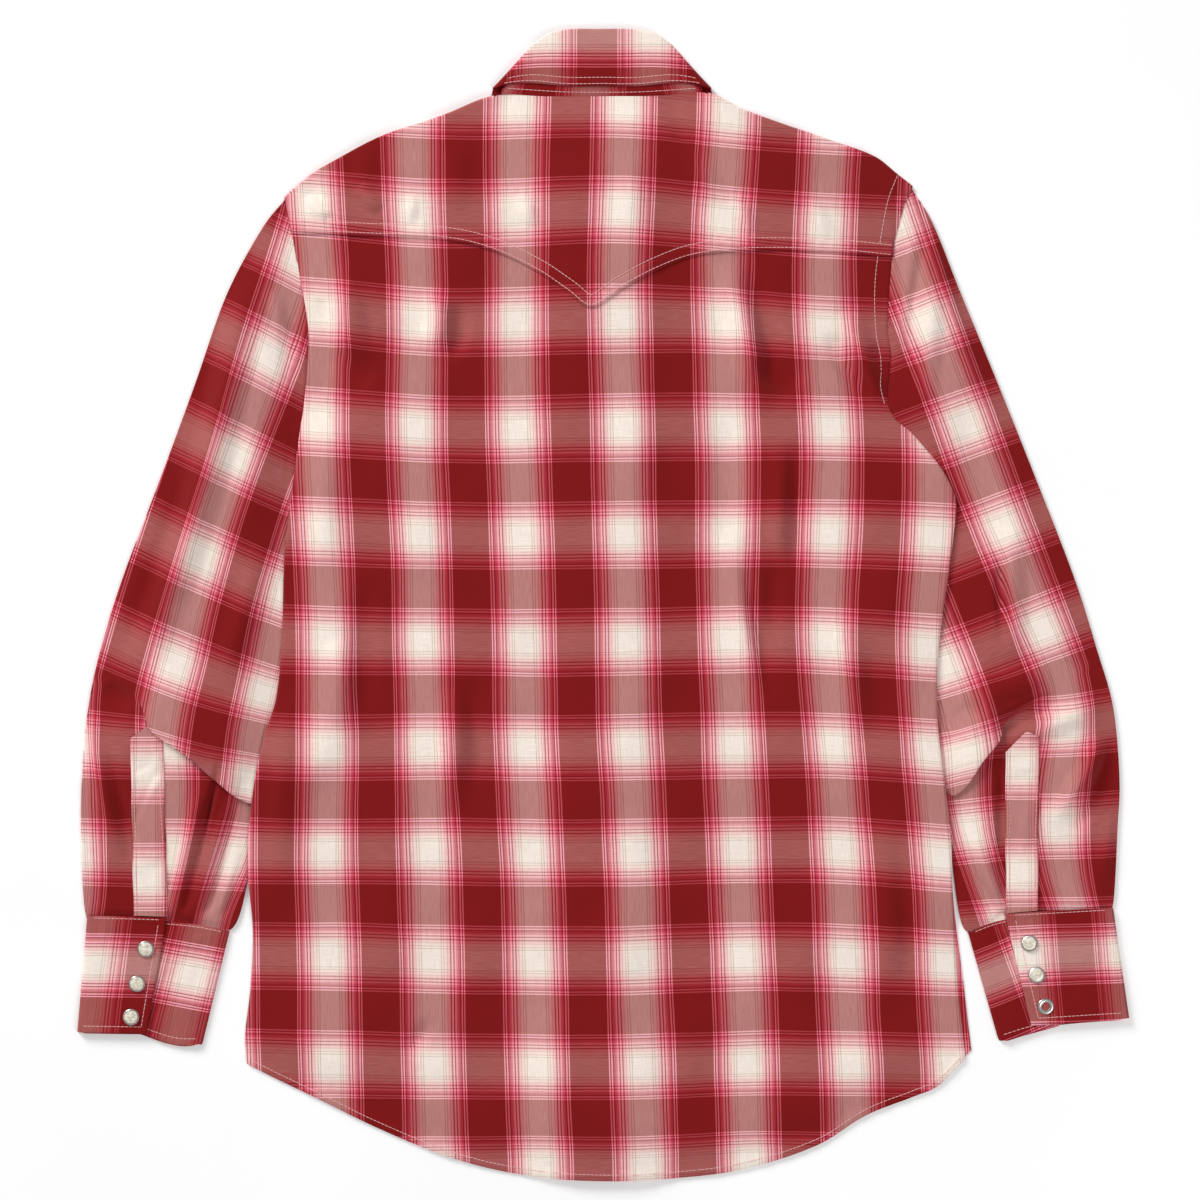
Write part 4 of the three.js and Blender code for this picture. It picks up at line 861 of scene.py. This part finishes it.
# The collar: heights of its leaf and its stand on the back and in front
LEAF_BACK, LEAF_FRONT = 6.0, 0.5
STAND_BACK, STAND_FRONT = 4.4, 2.1
COLLAR_ROLL = 0.8
STAND_TUCK = 6.0       # how far the stand goes on under the yoke
COLLAR = table(
    "neck_x neck_y roll_x roll_y edge_x edge_y turn",
    (0, 373.0, 0, 420.3, 0, 379.2, 0), (26, 373.2, 22, 420.2, 26, 379.2, 0),
    (50, 374.6, 38, 417.4, 51, 381.4, 0), (66, 375.8, 47, 411.5, 68, 380.5, 0),
    (71.8, 376.2, 50.8, 408.8, 76.2, 378.4, 0.12), (73.2, 376.4, 51.8, 407.6, 79.4, 377.4, 0.5),
    (71.8, 374.6, 50.4, 405.6, 80.0, 376.0, 0.93), (67.5, 365.5, 47.0, 398.0, 84.5, 356.0, 1),
    (61.0, 343.0, 40.5, 380.0, 86.0, 330.0, 1), (40.0, 315.0, 26.0, 352.0, 80.0, 298.0, 1),
    (3.0, 302.5, 5.0, 331.0, 62.0, 264.0, 1))


def collar_stations():
    half = np.concatenate([np.linspace(0, 3, 40), np.linspace(3, 6.5, 40)[1:],
                           np.linspace(6.5, 10, 36)[1:]])
    return np.concatenate([-half[:0:-1], half])


def collar_frame(station):
    f = rows_at(COLLAR, np.abs(station))
    f["side"] = np.where(station < 0, -1.0, 1.0)
    for name in ("neck_x", "roll_x", "edge_x"):
        f[name] = f[name] * f["side"]
    f["turn"] = np.clip(f["turn"], 0, 1)
    f["on_back"] = 1 - smooth(0.0, 0.3, f["turn"])
    return f


def collar_stand():
    row, station = np.linspace(0, 1, 15)[:, None], collar_stations()
    f = collar_frame(station)
    length = reach(f, "neck", "roll")
    share = mix(-STAND_TUCK * f["on_back"] / length, 1 - 2.0 / length, row)
    x, y = between(f, "neck", "roll", share)
    x = x - 2 * COLLAR_ROLL * np.sin(math.pi * f["turn"]) * f["side"] * row
    z = mix(STAND_BACK, STAND_FRONT, f["turn"])
    z = z - 0.9 * f["on_back"] * (1 - smooth(-1.8, 0.6, share * length))
    Cloth("collar_stand_cloth", DOUBLE_CLOTH).grid(x, y, z, row * 24 + 30, station * 25 + 8).build(
        PLAID_TRIM, ["collar_stand"], (0.4, 0.036), "folded", ["collar_leaf"], area=0.0125,
        slot="plaid_trim")


def collar_leaf():
    along = np.concatenate([np.array([0, 0.6, 1.3, 2.2, 3.4, 4.8, 6.4, 8.2]) / 41,
                            np.linspace(0.25, 1, 22)])
    # Past the last row the leaf rolls over and ends above the stand
    arc = np.linspace(0, math.pi, 10)[1:]
    share = np.concatenate([along, np.ones(len(arc))])[:, None]
    back = np.concatenate([along * COLLAR_ROLL, COLLAR_ROLL * (1 - np.sin(arc))])[:, None]
    drop = np.concatenate([np.zeros(len(along)), COLLAR_ROLL * (1 - np.cos(arc))])[:, None]
    f = collar_frame(collar_stations())
    length = reach(f, "edge", "roll")
    x, y = between(f, "edge", "roll", share - back / length)
    x = x - f["side"] * np.sin(math.pi * f["turn"]) * drop
    z = mix(LEAF_BACK, LEAF_FRONT, f["turn"]) - np.cos(math.pi * f["turn"]) * drop
    inside = share * length
    relief = 0.5 * groove(inside, 22, 15) - 0.25 * groove(inside, 6, 1.2)
    z = z + f["on_back"] * (relief - curl(inside, 1.5, 0.8) + 0.2 * waves(x, y, 8, 40))
    bent = 4.0 * np.clip((np.abs(x) - 30) / 50, 0, 1) ** 2
    u, v = y - 416.6 + drop + bent, (x - 36.6) * 0.97
    Cloth("collar_leaf_cloth", DOUBLE_CLOTH).grid(x, y, z, u, v).build(
        PLAID_TRIM, ["collar_leaf"], (0.46, 0.075), "folded", ["collar_stand"], area=0.0195,
        slot="plaid_trim")


# The sleeves
SLEEVE_REST = 2.7      # top of a sleeve that lies flat
SLEEVE_BULGE = 4.5     # how much higher the middle of the arm is
FOLD_LIFT = 6.5        # how high the elbow fold stands over the lower sleeve
FOLD_DEPTH = 0.3       # how many rings the cloth runs back and forth in the fold
FOLD_MARGIN = 0.34     # how many rings the fold takes up on each side of its lip
UPPER, FOLD, LOWER = 144, 42, 64       # rows of points above, in and below the elbow fold


def turned_edge(top, low, at, beside):
    """Points round a pressed edge, from the upper layer's column to the lower one's."""
    arc = np.linspace(0, math.pi, 9)
    turn = (1 - np.cos(arc)) / 2
    high = [part[:, at, None] for part in top]
    under = [part[:, -1 - at, None] for part in low]
    x, y, z = (mix(high[i], under[i], turn) for i in range(3))
    away_x, away_y = (high[i] - top[i][:, beside, None] for i in range(2))
    bulge = (high[2] - under[2]) / 2 * np.sin(arc) * 0.8 / np.hypot(away_x, away_y)
    return x + away_x * bulge, y + away_y * bulge, z


class Sleeve:
    """One sleeve: a tube pressed flat, with its elbow fold lying over the lower sleeve."""

    def __init__(self, side, sign, edge_at, rings, lip, end, charts, power_start, area):
        self.side, self.sign, self.edge_at, self.rings = side, sign, edge_at, rings
        self.lip_at = curve(lip["across"], lip["ring"])
        self.end_at = curve(end["x"], end["y"])
        self.last = len(rings["bow"]) - 1.0
        self.charts, self.power_start, self.area = charts, power_start, area

    def place(self, number, across):
        f = rows_at(self.rings, number)
        x, y = between(f, "outer", "inner", across)
        x = x + f["bow"] * np.sin(math.pi * across) * self.sign
        armhole_x = self.edge_at(np.minimum(y, f["outer_y"])) - 1.5 * self.sign
        armhole = np.maximum(0, 1 - number) ** 2 * smooth(0, 0.015, across)
        end = smooth(self.last - 1.4, self.last, number)
        tucked = 4.0 * (1 - smooth(0.86, 0.98, across)) + 0.5
        return mix(x, armhole_x, armhole), mix(y, self.end_at(x) - tucked, end)

    def height(self, x, y, across):
        """Height of the upper layer, without the elbow fold."""
        outside = self.sign * (x - self.edge_at(y))
        plateau = smooth(0, 0.22, across) * (1 - smooth(0.8, 1, across))
        near_cuff = 1 - 0.75 * smooth(-90, -215, y)
        folds = ridges(SLEEVE_FOLDS, x, y) * smooth(0, 0.05, across) * smooth(-229, -218, y)
        uneven = 0.45 * waves(x, y, 11, 70) + 0.25 * waves(x, y, 12, 28)
        lifted = smooth(2, 34, outside) * (SLEEVE_BULGE * plateau * near_cuff + folds
                                           + uneven * plateau)
        z = SLEEVE_REST - CAD_CLOTH / 2 - 0.9 * (1 - smooth(0, 10, outside)) + lifted
        return mix(1.7, soft_rest(z, 1.5), smooth(-1.0, 6.0, y - self.end_at(x)))

    def under_body(self, x, y, z):
        """Keeps what lies under the body under it, and above the floor."""
        inside = -self.sign * (x - self.edge_at(y))
        room = np.maximum(body_rise(x, y) + FLOOR_LEVEL - 0.55, CLOTH / 2 + 0.05)
        return np.where(inside > 0, np.minimum(z, room), z)

    def row_number(self, r, lip):
        """The ring at a row of points, where the elbow fold's lip is at the ring lip."""
        start, end = lip - FOLD_MARGIN, lip + FOLD_MARGIN
        above = start * (r / UPPER)
        inside = mix(start, end, (r - UPPER) / FOLD)
        below = mix(end, self.last, (r - UPPER - FOLD) / LOWER)
        return np.where(r <= UPPER, above, np.where(r <= UPPER + FOLD, inside, below))

    def top(self, r, across):
        """The upper layer, and how far along the elbow fold each of its points is."""
        lip = self.lip_at(across)
        power = smooth(*self.power_start, across) * (1 - smooth(0.93, 1.0, across))
        share = np.clip((r - UPPER) / FOLD, 0, 1)
        number = self.row_number(r, lip) + FOLD_DEPTH * power * np.sin(2 * math.pi * share)
        x, y = self.place(number, across)
        before = np.where(r <= UPPER, smooth(-1.5, -FOLD_MARGIN, number - lip), 1.0)
        lobe = FOLD_LIFT * power * before * (1 - smooth(0.08, 0.92, share))
        lobe = lobe * (1 - 0.55 * smooth(0.74, 0.9, across))
        return x, y, self.under_body(x, y, self.height(x, y, across) + lobe), share

    def check(self, x, y, lower_share):
        """The check's place: it follows the arm above the elbow fold and the cuff below it."""
        high, low = (on_chart(chart, SLEEVE_FOLDS, x, y) for chart in self.charts)
        return tuple(mix(high[i], low[i], lower_share) for i in range(2))

    def build(self):
        across = np.concatenate([[0, 0.004, 0.01, 0.018, 0.028], np.linspace(0.04, 0.96, 80),
                                 [0.972, 0.982, 0.99, 0.996, 1]])
        if self.sign > 0:
            across = across[::-1]
        rows = UPPER + FOLD + LOWER
        r, a = np.meshgrid(np.arange(rows + 1.0), across, indexing="ij")
        length = reach(rows_at(self.rings, np.clip(r / rows * self.last, 0, self.last)),
                       "inner", "outer")
        a = mix(0.9 / length, 1 - 0.9 / length, a)
        *top, share = self.top(r, a)
        low_lip = mix(self.lip_at(0), self.lip_at(1), a)
        low = (*self.place(self.row_number(r, low_lip), a), np.full(a.shape, FLOOR_LEVEL))
        low = [part[:, ::-1] for part in low]
        first = [part[:, 1:-1] for part in turned_edge(top, low, -1, -5)]
        second = [part[:, -2::-1] for part in turned_edge(top, low, 0, 4)]
        parts = [np.concatenate(part, axis=1) for part in zip(top, first, low, second)]
        for high, under in zip(self.check(*top[:2], smooth(0.36, 0.64, share)),
                               self.check(*low[:2], smooth(UPPER, UPPER + FOLD, r))):
            parts.append(np.concatenate(
                [high, mix(high[:, -1:], under[:, :1], np.linspace(0, 1, first[0].shape[1])),
                 under, mix(under[:, -1:], high[:, :1], np.linspace(0, 1, second[0].shape[1]))],
                axis=1))
        Cloth(f"sleeve_cloth_{self.side}").grid(*parts).build(
            PLAID, [f"sleeve_{self.side}"], (0.42, 0.56), "folded", [f"cuff_{self.side}"],
            area=self.area)


LEFT = Sleeve("left", -1, body_left, SLEEVE_LEFT, LIP_LEFT, END_LEFT,
              (LEFT_UPPER, LEFT_LOWER), (0.19, 0.34), 0.118)
RIGHT = Sleeve("right", 1, body_right, SLEEVE_RIGHT, LIP_RIGHT, END_RIGHT,
               (RIGHT_UPPER, RIGHT_LOWER), (0.50, 0.62), 0.104)

# Cuffs and sleeve plackets
CUFF = "top_x top_y foot_x foot_y level"
CUFFS = {
    "left": table(
        CUFF, (-318.3, -228.3, -332.9, -313.0, 4.7), (-347, -227.4, -358, -312.7, 4.7),
        (-371.5, -226.9, -379.8, -312.4, 4.3), (-374.6, -226.9, -381.9, -312.3, 3.4),
        (-375.6, -226.9, -382.6, -312.3, 2.3), (-374.6, -227.0, -381.9, -312.4, 1.2),
        (-371.5, -227.2, -379.8, -312.6, 0.5), (-320, -228.9, -337, -313.6, 0.5),
        (-276.5, -237.3, -296.5, -321.8, 0.5), (-274.1, -237.6, -294.4, -321.8, 0.95),
        (-273.2, -237.7, -293.6, -321.8, 1.7), (-274.1, -237.6, -294.4, -321.8, 2.45),
        (-276.5, -237.2, -296.5, -321.8, 2.9), (-298, -233.2, -316, -320.6, 2.8),
        (-338, -229.6, -352, -307.5, 2.2)),
    "right": table(
        CUFF, (294.7, -225.2, 313.8, -306.7, 4.7), (331, -223.2, 348, -304.6, 4.7),
        (367.8, -221.2, 380.4, -302.6, 4.3), (370.9, -221.1, 382.5, -302.4, 3.4),
        (371.9, -221.0, 383.2, -302.3, 2.3), (370.9, -221.2, 382.5, -302.5, 1.2),
        (367.8, -221.6, 380.4, -303.0, 0.5), (298, -226.2, 318, -309, 0.5),
        (271.2, -237.8, 293.8, -318.8, 0.5), (268.8, -238.2, 291.6, -319.0, 0.95),
        (267.9, -238.4, 290.7, -319.2, 1.7), (268.8, -238.2, 291.6, -319.0, 2.45),
        (271.2, -237.6, 293.8, -318.9, 2.9), (287, -231.6, 308, -314.4, 2.7),
        (316, -225.2, 334, -307.4, 2.2)),
}
CUFF_HIGH = 86
CUFF_SEAM = 5.2        # from a cuff's edge to its stitches
STATION = 26.0         # millimetres from one row of a cuff's table to the next, near its end

CUFF_CHECK = {
    "left": ((-373.0, -262.8, 82.0, 73.4, -0.12, -0.02),
             (-299.7, -271.0, 77.0, 77.0, -0.243, -0.2)),
    "right": ((310.5, -256.0, 72.0, 70.2, 0.085, 0.03),
              (318.6, -257.0, 77.0, 74.0, 0.36, 0.4)),
}


def cuff_check(side, station, x, y):
    places = []
    for white_x, white_y, across, along, lean, slope in CUFF_CHECK[side]:
        places.append(((y - white_y - slope * (x - white_x)) * REPEAT_ACROSS / along,
                       (x - white_x + lean * (y - white_y)) * REPEAT_ALONG / across))
    beside = smooth(6.6, 7.6, station)
    return tuple(mix(places[0][i], places[1][i], beside) for i in range(2))


def cuff_place(side, station, down):
    """A place on a cuff's band, which runs round it: station along it, down from top to foot.

    Its edges turn down, and it has seam grooves and soft unevenness."""
    f = rows_at(CUFFS[side], station)
    f["top_y"] = f["top_y"] - GAP
    x, y = between(f, "top", "foot", down)
    # Layers under the uppermost end a little higher at the foot
    shorter = smooth(7.7, 8.1, station) * (1 - smooth(11.9, 12.25, station))
    shorter += 0.5 * smooth(1.8, 2.05, station) * (1 - smooth(5.9, 6.2, station))
    y = y + 1.1 * shorter * smooth(0.95, 1.0, down)
    on_top = (1 - smooth(1.7, 2.1, station)) + smooth(12.2, 12.6, station)
    edge = np.minimum(down, 1 - down) * CUFF_HIGH
    seed = 21 if side == "left" else 22
    uneven = 0.4 * waves(x, y, seed, 45) + 0.12 * waves(x, y, seed + 2, 14)
    uneven = uneven * np.where(station < 6, smooth(0.45, 1.3, station), 1)
    z = f["level"] + on_top * (uneven * smooth(0, 8, edge) - curl(edge, 1.5, 0.8)
                               - 0.24 * groove(edge, CUFF_SEAM, 1.3))
    from_end = station * STATION
    end = curl(from_end, 1.5, 0.9) + 0.2 * groove(from_end, CUFF_SEAM, 1.3)
    return x, y, z - np.where(station < 2, end, 0)


def cuff(side):
    stations = np.concatenate([
        [0, 0.012, 0.03, 0.06, 0.1, 0.16], np.linspace(0.22, 2, 44),
        np.linspace(2, 6, 25)[1:], np.linspace(6, 8, 24)[1:], np.linspace(8, 12, 21)[1:],
        np.linspace(12, 14, 50)[1:]])
    close = np.array([0, 0.6, 1.4, 2.4, 3.6]) / CUFF_HIGH
    downs = np.concatenate([close, np.linspace(0.06, 0.94, 46), 1 - close[::-1]])
    down, station = np.meshgrid(downs, stations, indexing="ij")
    x, y, z = cuff_place(side, station, down)
    parts = [part[::-1] for part in (x, y, z, *cuff_check(side, station, x, y))]
    if side == "left":
        parts = [part[:, ::-1] for part in parts]
    Cloth(f"cuff_cloth_{side}", 1.0).grid(*parts).build(
        PLAID_TRIM, [f"cuff_{side}"], (0.23, 0.086), "folded", [f"sleeve_{side}"],
        slot="plaid_trim")


# The left, middle and right of each sleeve placket's point and of its foot, where the check
# starts on it, and how its edges sway
PLACKETS = {
    "left": ([(-343.8, -97), (-332.4, -88.9), (-320.4, -98)],
             [(-341.6, -226.6), (-329.6, -226.9), (-317.6, -227.4)]),
    "right": ([(294.6, -107), (309.5, -91.6), (318.4, -96)],
              [(295.4, -224.8), (306.8, -223.8), (318.2, -223.0)]),
}
PLACKET_CHECK = {"left": (332.4, 120.3), "right": (-304.8, 117.3)}
PLACKET_SWAY = {"left": 1, "right": 4}
PLACKET_FOLDS = table(
    RIDGE,
    (-341, -160, -334, -138, -322, -118, -0.6, 4), (-343, -122, -336, -119, -328, -116, -0.4, 3),
    (-336, -150, -330, -132, -320, -125, 0.4, 5), (295, -124, 302, -128, 310, -127, -0.4, 3.5),
    (296, -116, 306, -120, 316, -119, 0.4, 4), (306, -150, 309, -170, 306, -190, 0.4, 6))


def placket_places(side, up, across):
    """A place on a sleeve placket, from its foot up and from left to right."""
    left = across <= 0.5
    t = np.where(left, across * 2, across * 2 - 1)
    top, foot = ([np.where(left, mix(a, b, t), mix(b, c, t)) for a, b, c in zip(*line)]
                 for line in PLACKETS[side])
    sway = 0.7 * np.sin(up * 17 + PLACKET_SWAY[side]) * up * (1 - up) * 4 * abs(across - 0.5)
    return mix(foot[0], top[0], up) + sway, mix(foot[1], top[1], up)


def placket_height(side, x, y):
    sleeve = LEFT if side == "left" else RIGHT
    return (np.maximum(sleeve.height(x, y, 0.5), 3.3) + 1.3 + 0.14 * waves(x, y, 31, 22)
            + np.maximum(ridges(PLACKET_FOLDS, x, y), -0.5))


def sleeve_placket(side):
    up, across = np.meshgrid(np.concatenate([np.linspace(0, 0.97, 70), [0.98, 0.99, 0.995, 1]]),
                             np.concatenate([[0, 0.02, 0.05, 0.09], np.linspace(0.14, 0.86, 13),
                                             [0.91, 0.95, 0.98, 1]]), indexing="ij")
    x, y = placket_places(side, up, across)
    inside = np.minimum(across, 1 - across) * 24
    z = placket_height(side, x, y) - curl(inside, 1.4, 0.8) - 0.18 * groove(inside, 2.6, 0.9)
    u, v = x + PLACKET_CHECK[side][0], y + PLACKET_CHECK[side][1]
    Cloth(f"sleeve_placket_cloth_{side}", 0.8).grid(x, y, z, u, v).build(
        PLAID_TRIM, [f"sleeve_placket_{side}"], (0.024, 0.128), "laid", [f"sleeve_{side}"],
        slot="plaid_trim")


# Snaps: profiles of radius and height
SIDES = 48
SEAT = PEARL_RADIUS + 0.08
RIM = ((0, 0), (SNAP_RADIUS - 0.5, 0), (SNAP_RADIUS - 0.1, 0.2), (SNAP_RADIUS, 0.6),
       (SNAP_RADIUS - 0.1, 1.1), (SNAP_RADIUS - 0.45, 1.5), (SEAT + 0.5, 1.68),
       (SEAT + 0.15, 1.6), (SEAT, 1.35), (SEAT, 0.5), (0, 0.5))
DOME = ((0, 0.55), (PEARL_RADIUS, 0.55),
        *((PEARL_RADIUS * math.cos(a), 1.35 + 0.65 * math.sin(a))
          for a in np.linspace(0, math.pi / 2, 10)[:-1]), (0, SNAP_HEIGHT))
BARE_RING = ((2.8, 0.2), (3.0, 0), (5.6, 0), (5.8, 0.3), (5.75, 0.8), (5.3, 1.15), (4.6, 1.3),
             (3.9, 1.2), (3.4, 0.9), (2.9, 0.7), (2.8, 0.2))
CUFF_SNAPS = {"left": ((-333, -250.9), (-339.3, -276.2), (-343.7, -300.5)),
              "right": ((311.9, -246.8), (317.3, -269.9), (323.8, -292.8))}
FRONT_SNAPS = [268 - i * 88 for i in range(7)]


def lathe(name, profile, centre, up, material, node):
    """A turned piece from a closed profile, standing up (1) or hanging down (-1)."""
    radius, height = np.array(profile, float).T[..., None]
    angles = np.linspace(0, 2 * math.pi, SIDES, endpoint=False)
    points = np.stack(np.broadcast_arrays(
        centre[0] + radius * np.cos(angles), centre[1] + radius * np.sin(angles),
        centre[2] + up * height), -1).reshape(-1, 3)
    _, first, joined = np.unique(np.round(points, 4), axis=0, return_index=True,
                                 return_inverse=True)
    rings = joined.reshape(-1, SIDES)
    faces = []
    for low, high in zip(rings[:-1], rings[1:]):
        for corners in zip(low, np.roll(low, -1), np.roll(high, -1), high):
            # Corners that meet on the axis count once
            kept = list(dict.fromkeys(map(int, corners[::up])))
            if len(kept) > 2:
                faces.append(kept)
    mesh = bpy.data.meshes.new(name)
    mesh.from_pydata((points[first] * MM).tolist(), [], faces)
    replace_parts(finished(name, mesh, 40, material), node)


def snap(name, place, up, pearl=True):
    """A pearl snap, or the bare ring where its pearl is lost."""
    rim = RIM if pearl else BARE_RING
    lathe(f"{name}_rim_metal", rim, place, up, METAL, f"{name}_rim")
    if pearl:
        lathe(f"{name}_pearl_cap", DOME, place, up, PEARL, f"{name}_pearl")


def on_overlap(side, x, y):
    """Height of the cuff's cloth under a snap, on its overlapping end."""
    first, second = (rows_at(CUFFS[side], i) for i in (0, 1))
    down = (first["top_y"] - y) / (first["top_y"] - first["foot_y"])
    from_x, to_x = (between(f, "top", "foot", down)[0] for f in (first, second))
    station = (x - from_x) / (to_x - from_x)
    return float(cuff_place(side, station, down)[2]) + 0.45


def snaps():
    for side, places in CUFF_SNAPS.items():
        for i, (x, y) in enumerate(places):
            lost = side == "right" and i == 2
            snap(f"cuff_{side}_snap_{i + 1}", (x, y, on_overlap(side, x, y)), 1, pearl=not lost)
    for i, y in enumerate(FRONT_SNAPS):
        snap(f"front_snap_{i + 1}", (0, y, float(body_rise(0, y)) - LAYER - GAP), -1)


# Stitching
STITCH_LONG, STITCH_WIDE, STITCH_HIGH = 2.75, 0.48, 0.36
STITCH_STEP = 3.0
# Places along a stitch and its thickness there
STITCH_FORM = ((0.0, 0.35), (0.18, 0.9), (0.5, 1.0), (0.82, 0.9), (1.0, 0.35))


def stitch_ends(points):
    """Both ends of each stitch along a line of points."""
    steps = np.linalg.norm(np.diff(points, axis=0), axis=1)
    lengths = np.concatenate([[0], np.cumsum(steps)])
    count = max(1, int(lengths[-1] / STITCH_STEP))
    middle = (np.arange(count) + 0.5) * lengths[-1] / count
    return zip(*(np.stack([np.interp(middle + half, lengths, column) for column in points.T], -1)
                 for half in (-STITCH_LONG / 2, STITCH_LONG / 2)))


def stitching(name, *lines):
    """All the stitches of one seam group as one mesh of short rounded bars."""
    points, faces = [], []
    for a, b in (ends for line in lines for ends in stitch_ends(line)):
        d = b - a
        length = np.linalg.norm(d)
        if length < 0.2:
            continue
        d /= length
        side = np.cross((0, 0, 1.0), d)
        side /= max(np.linalg.norm(side), 1e-6)
        rise = np.cross(d, side)
        count = len(points)
        for t, size in STITCH_FORM:
            middle = mix(a, b, t) + rise * STITCH_HIGH * 0.3 * size
            for cx, cz in ((1, 0), (0, 1), (-1, 0), (0, -1)):
                points.append(middle + side * cx * STITCH_WIDE / 2 * size
                              + rise * cz * STITCH_HIGH / 2 * size)
        last = len(points) - 4
        for at in range(count, last, 4):
            faces += [(at + j, at + k, at + 4 + k, at + 4 + j)
                      for j, k in ((0, 1), (1, 2), (2, 3), (3, 0))]
        faces += [(count + 3, count + 2, count + 1, count), (last, last + 1, last + 2, last + 3)]
    finished(name, mesh_of(name, points, np.array(faces)), 80, THREAD)


ARMHOLE_SEAM = table("x y", (206.5, 147), (203.4, 160), (204.0, 172), (203.4, 183), (200.6, 196),
                     (199.2, 221), (199.8, 240), (201.9, 257.5), (205.6, 280), (209.5, 298),
                     (216.0, 314.5))
armhole_seam = curve(ARMHOLE_SEAM["y"], ARMHOLE_SEAM["x"])


def raised(x, y, z, lift):
    return np.stack(np.broadcast_arrays(x, y, z + lift), -1)


def body_stitches():
    x = np.linspace(-226, 211, 260)
    lines = []
    for inside in (1.9, 8.9):
        sx, sy = inward((x, yoke_edge_at(x), *way_out(yoke_edge_at, x, 0.5)), -inside)
        lines.append(raised(sx, sy, yoke_height(sx, sy) + yoke_band(inside), CLOTH / 2))
    stitching("yoke_stitches", *lines)
    x = np.linspace(-256, 262, 260)
    y = hem_at(x) + 4.6
    stitching("hem_stitches", raised(x, y, back_height(x, y) + 0.45, CLOTH / 2))
    y = np.linspace(314, 147, 90)
    x = armhole_seam(y)
    z = mix(back_height(x, y), yoke_height(x, y), smooth(252, 258, y))
    stitching("armhole_stitches", raised(x, y, z, CLOTH / 2 + 0.1))


def collar_stitches():
    f = collar_frame(np.linspace(-3.4, 3.4, 120))
    lines = []
    for inside, lift in ((1.4, 0.56), (6.0, 0.42)):
        x, y = between(f, "edge", "roll", inside / reach(f, "edge", "roll"))
        lines.append(raised(x, y, LEAF_BACK + 0.2 * waves(x, y, 8, 40), lift))
    x, y = between(f, "neck", "roll", 1.5 / reach(f, "neck", "roll"))
    stitching("collar_stitches", *lines, raised(x, y, STAND_BACK, 0.5))


def cuff_stitches(side):
    seam, edge = CUFF_SEAM / CUFF_HIGH, 1.2 / CUFF_HIGH
    over, under = np.linspace(0.17, 1.97, 80), np.linspace(12.1, 13.6, 50)
    lines = [raised(*cuff_place(side, *np.broadcast_arrays(station, down)), 0.5)
             for station, down in ((over, 1 - seam), (over, edge), (under, 1 - seam),
                                   (under, edge), (0.17, np.linspace(seam, 1 - seam, 60)))]
    for across in (0.09, 0.91):
        x, y = placket_places(side, np.linspace(0.02, 0.96, 90), across)
        lines.append(raised(x, y, placket_height(side, x, y), 0.4))
    stitching(f"cuff_stitches_{side}", *lines)


# Floor, light and camera: a bright room, one broad low lamp that shows the folds and a weak
# one on the other side. Sizes are in metres here, but for the camera's
FLOOR_SIZE = 3.0
ROOM_LIGHT = 0.35
LAMPS = (("key_light", (-2.7, 3.0, 2.1), 184.0, 1.7), ("fill_light", (1.6, -1.4, 2.4), 33.0, 1.6))
PHOTO_WIDTH = 876.0            # millimetres across the photograph at the shirt
PHOTO_CENTRE = (-1.46, 3.83)
CAMERA_HEIGHT = 2500.0
SHIRT_TOP = 5.0                # height at which that width is measured
SENSOR = 36.0


def stage():
    bpy.ops.mesh.primitive_plane_add(size=FLOOR_SIZE, location=(0, 0, -0.0002))
    floor = bpy.context.object
    floor.name = "floor"
    floor.data.materials.append(floor_material())
    world = bpy.data.worlds.new("soft_room")
    world.use_nodes = True
    room = world.node_tree.nodes["Background"].inputs
    room["Color"].default_value = (1.0, 1.0, 1.0, 1.0)
    room["Strength"].default_value = ROOM_LIGHT
    bpy.context.scene.world = world
    for name, place, power, width in LAMPS:
        light = bpy.data.lights.new(name, "AREA")
        light.energy = power
        light.size = width
        lamp = bpy.data.objects.new(name, light)
        lamp.location = place
        lamp.rotation_euler = Vector(place).to_track_quat("Z", "Y").to_euler()
        bpy.context.scene.collection.objects.link(lamp)
    bpy.context.scene.view_settings.view_transform = "Standard"


def camera():
    lens = bpy.data.cameras.new("camera")
    lens.sensor_width = SENSOR
    lens.lens = SENSOR * CAMERA_HEIGHT / PHOTO_WIDTH
    eye = bpy.data.objects.new("camera", lens)
    eye.location = [value * MM for value in (*PHOTO_CENTRE, CAMERA_HEIGHT + SHIRT_TOP)]
    bpy.context.scene.collection.objects.link(eye)
    bpy.context.scene.camera = eye


camera()
stage()
back_panel()
yoke()
front(True)
front(False)
front_placket()
collar_stand()
collar_leaf()
LEFT.build()
RIGHT.build()
for name in ("left", "right"):
    cuff(name)
    sleeve_placket(name)
snaps()
body_stitches()
collar_stitches()
for name in ("left", "right"):
    cuff_stitches(name)
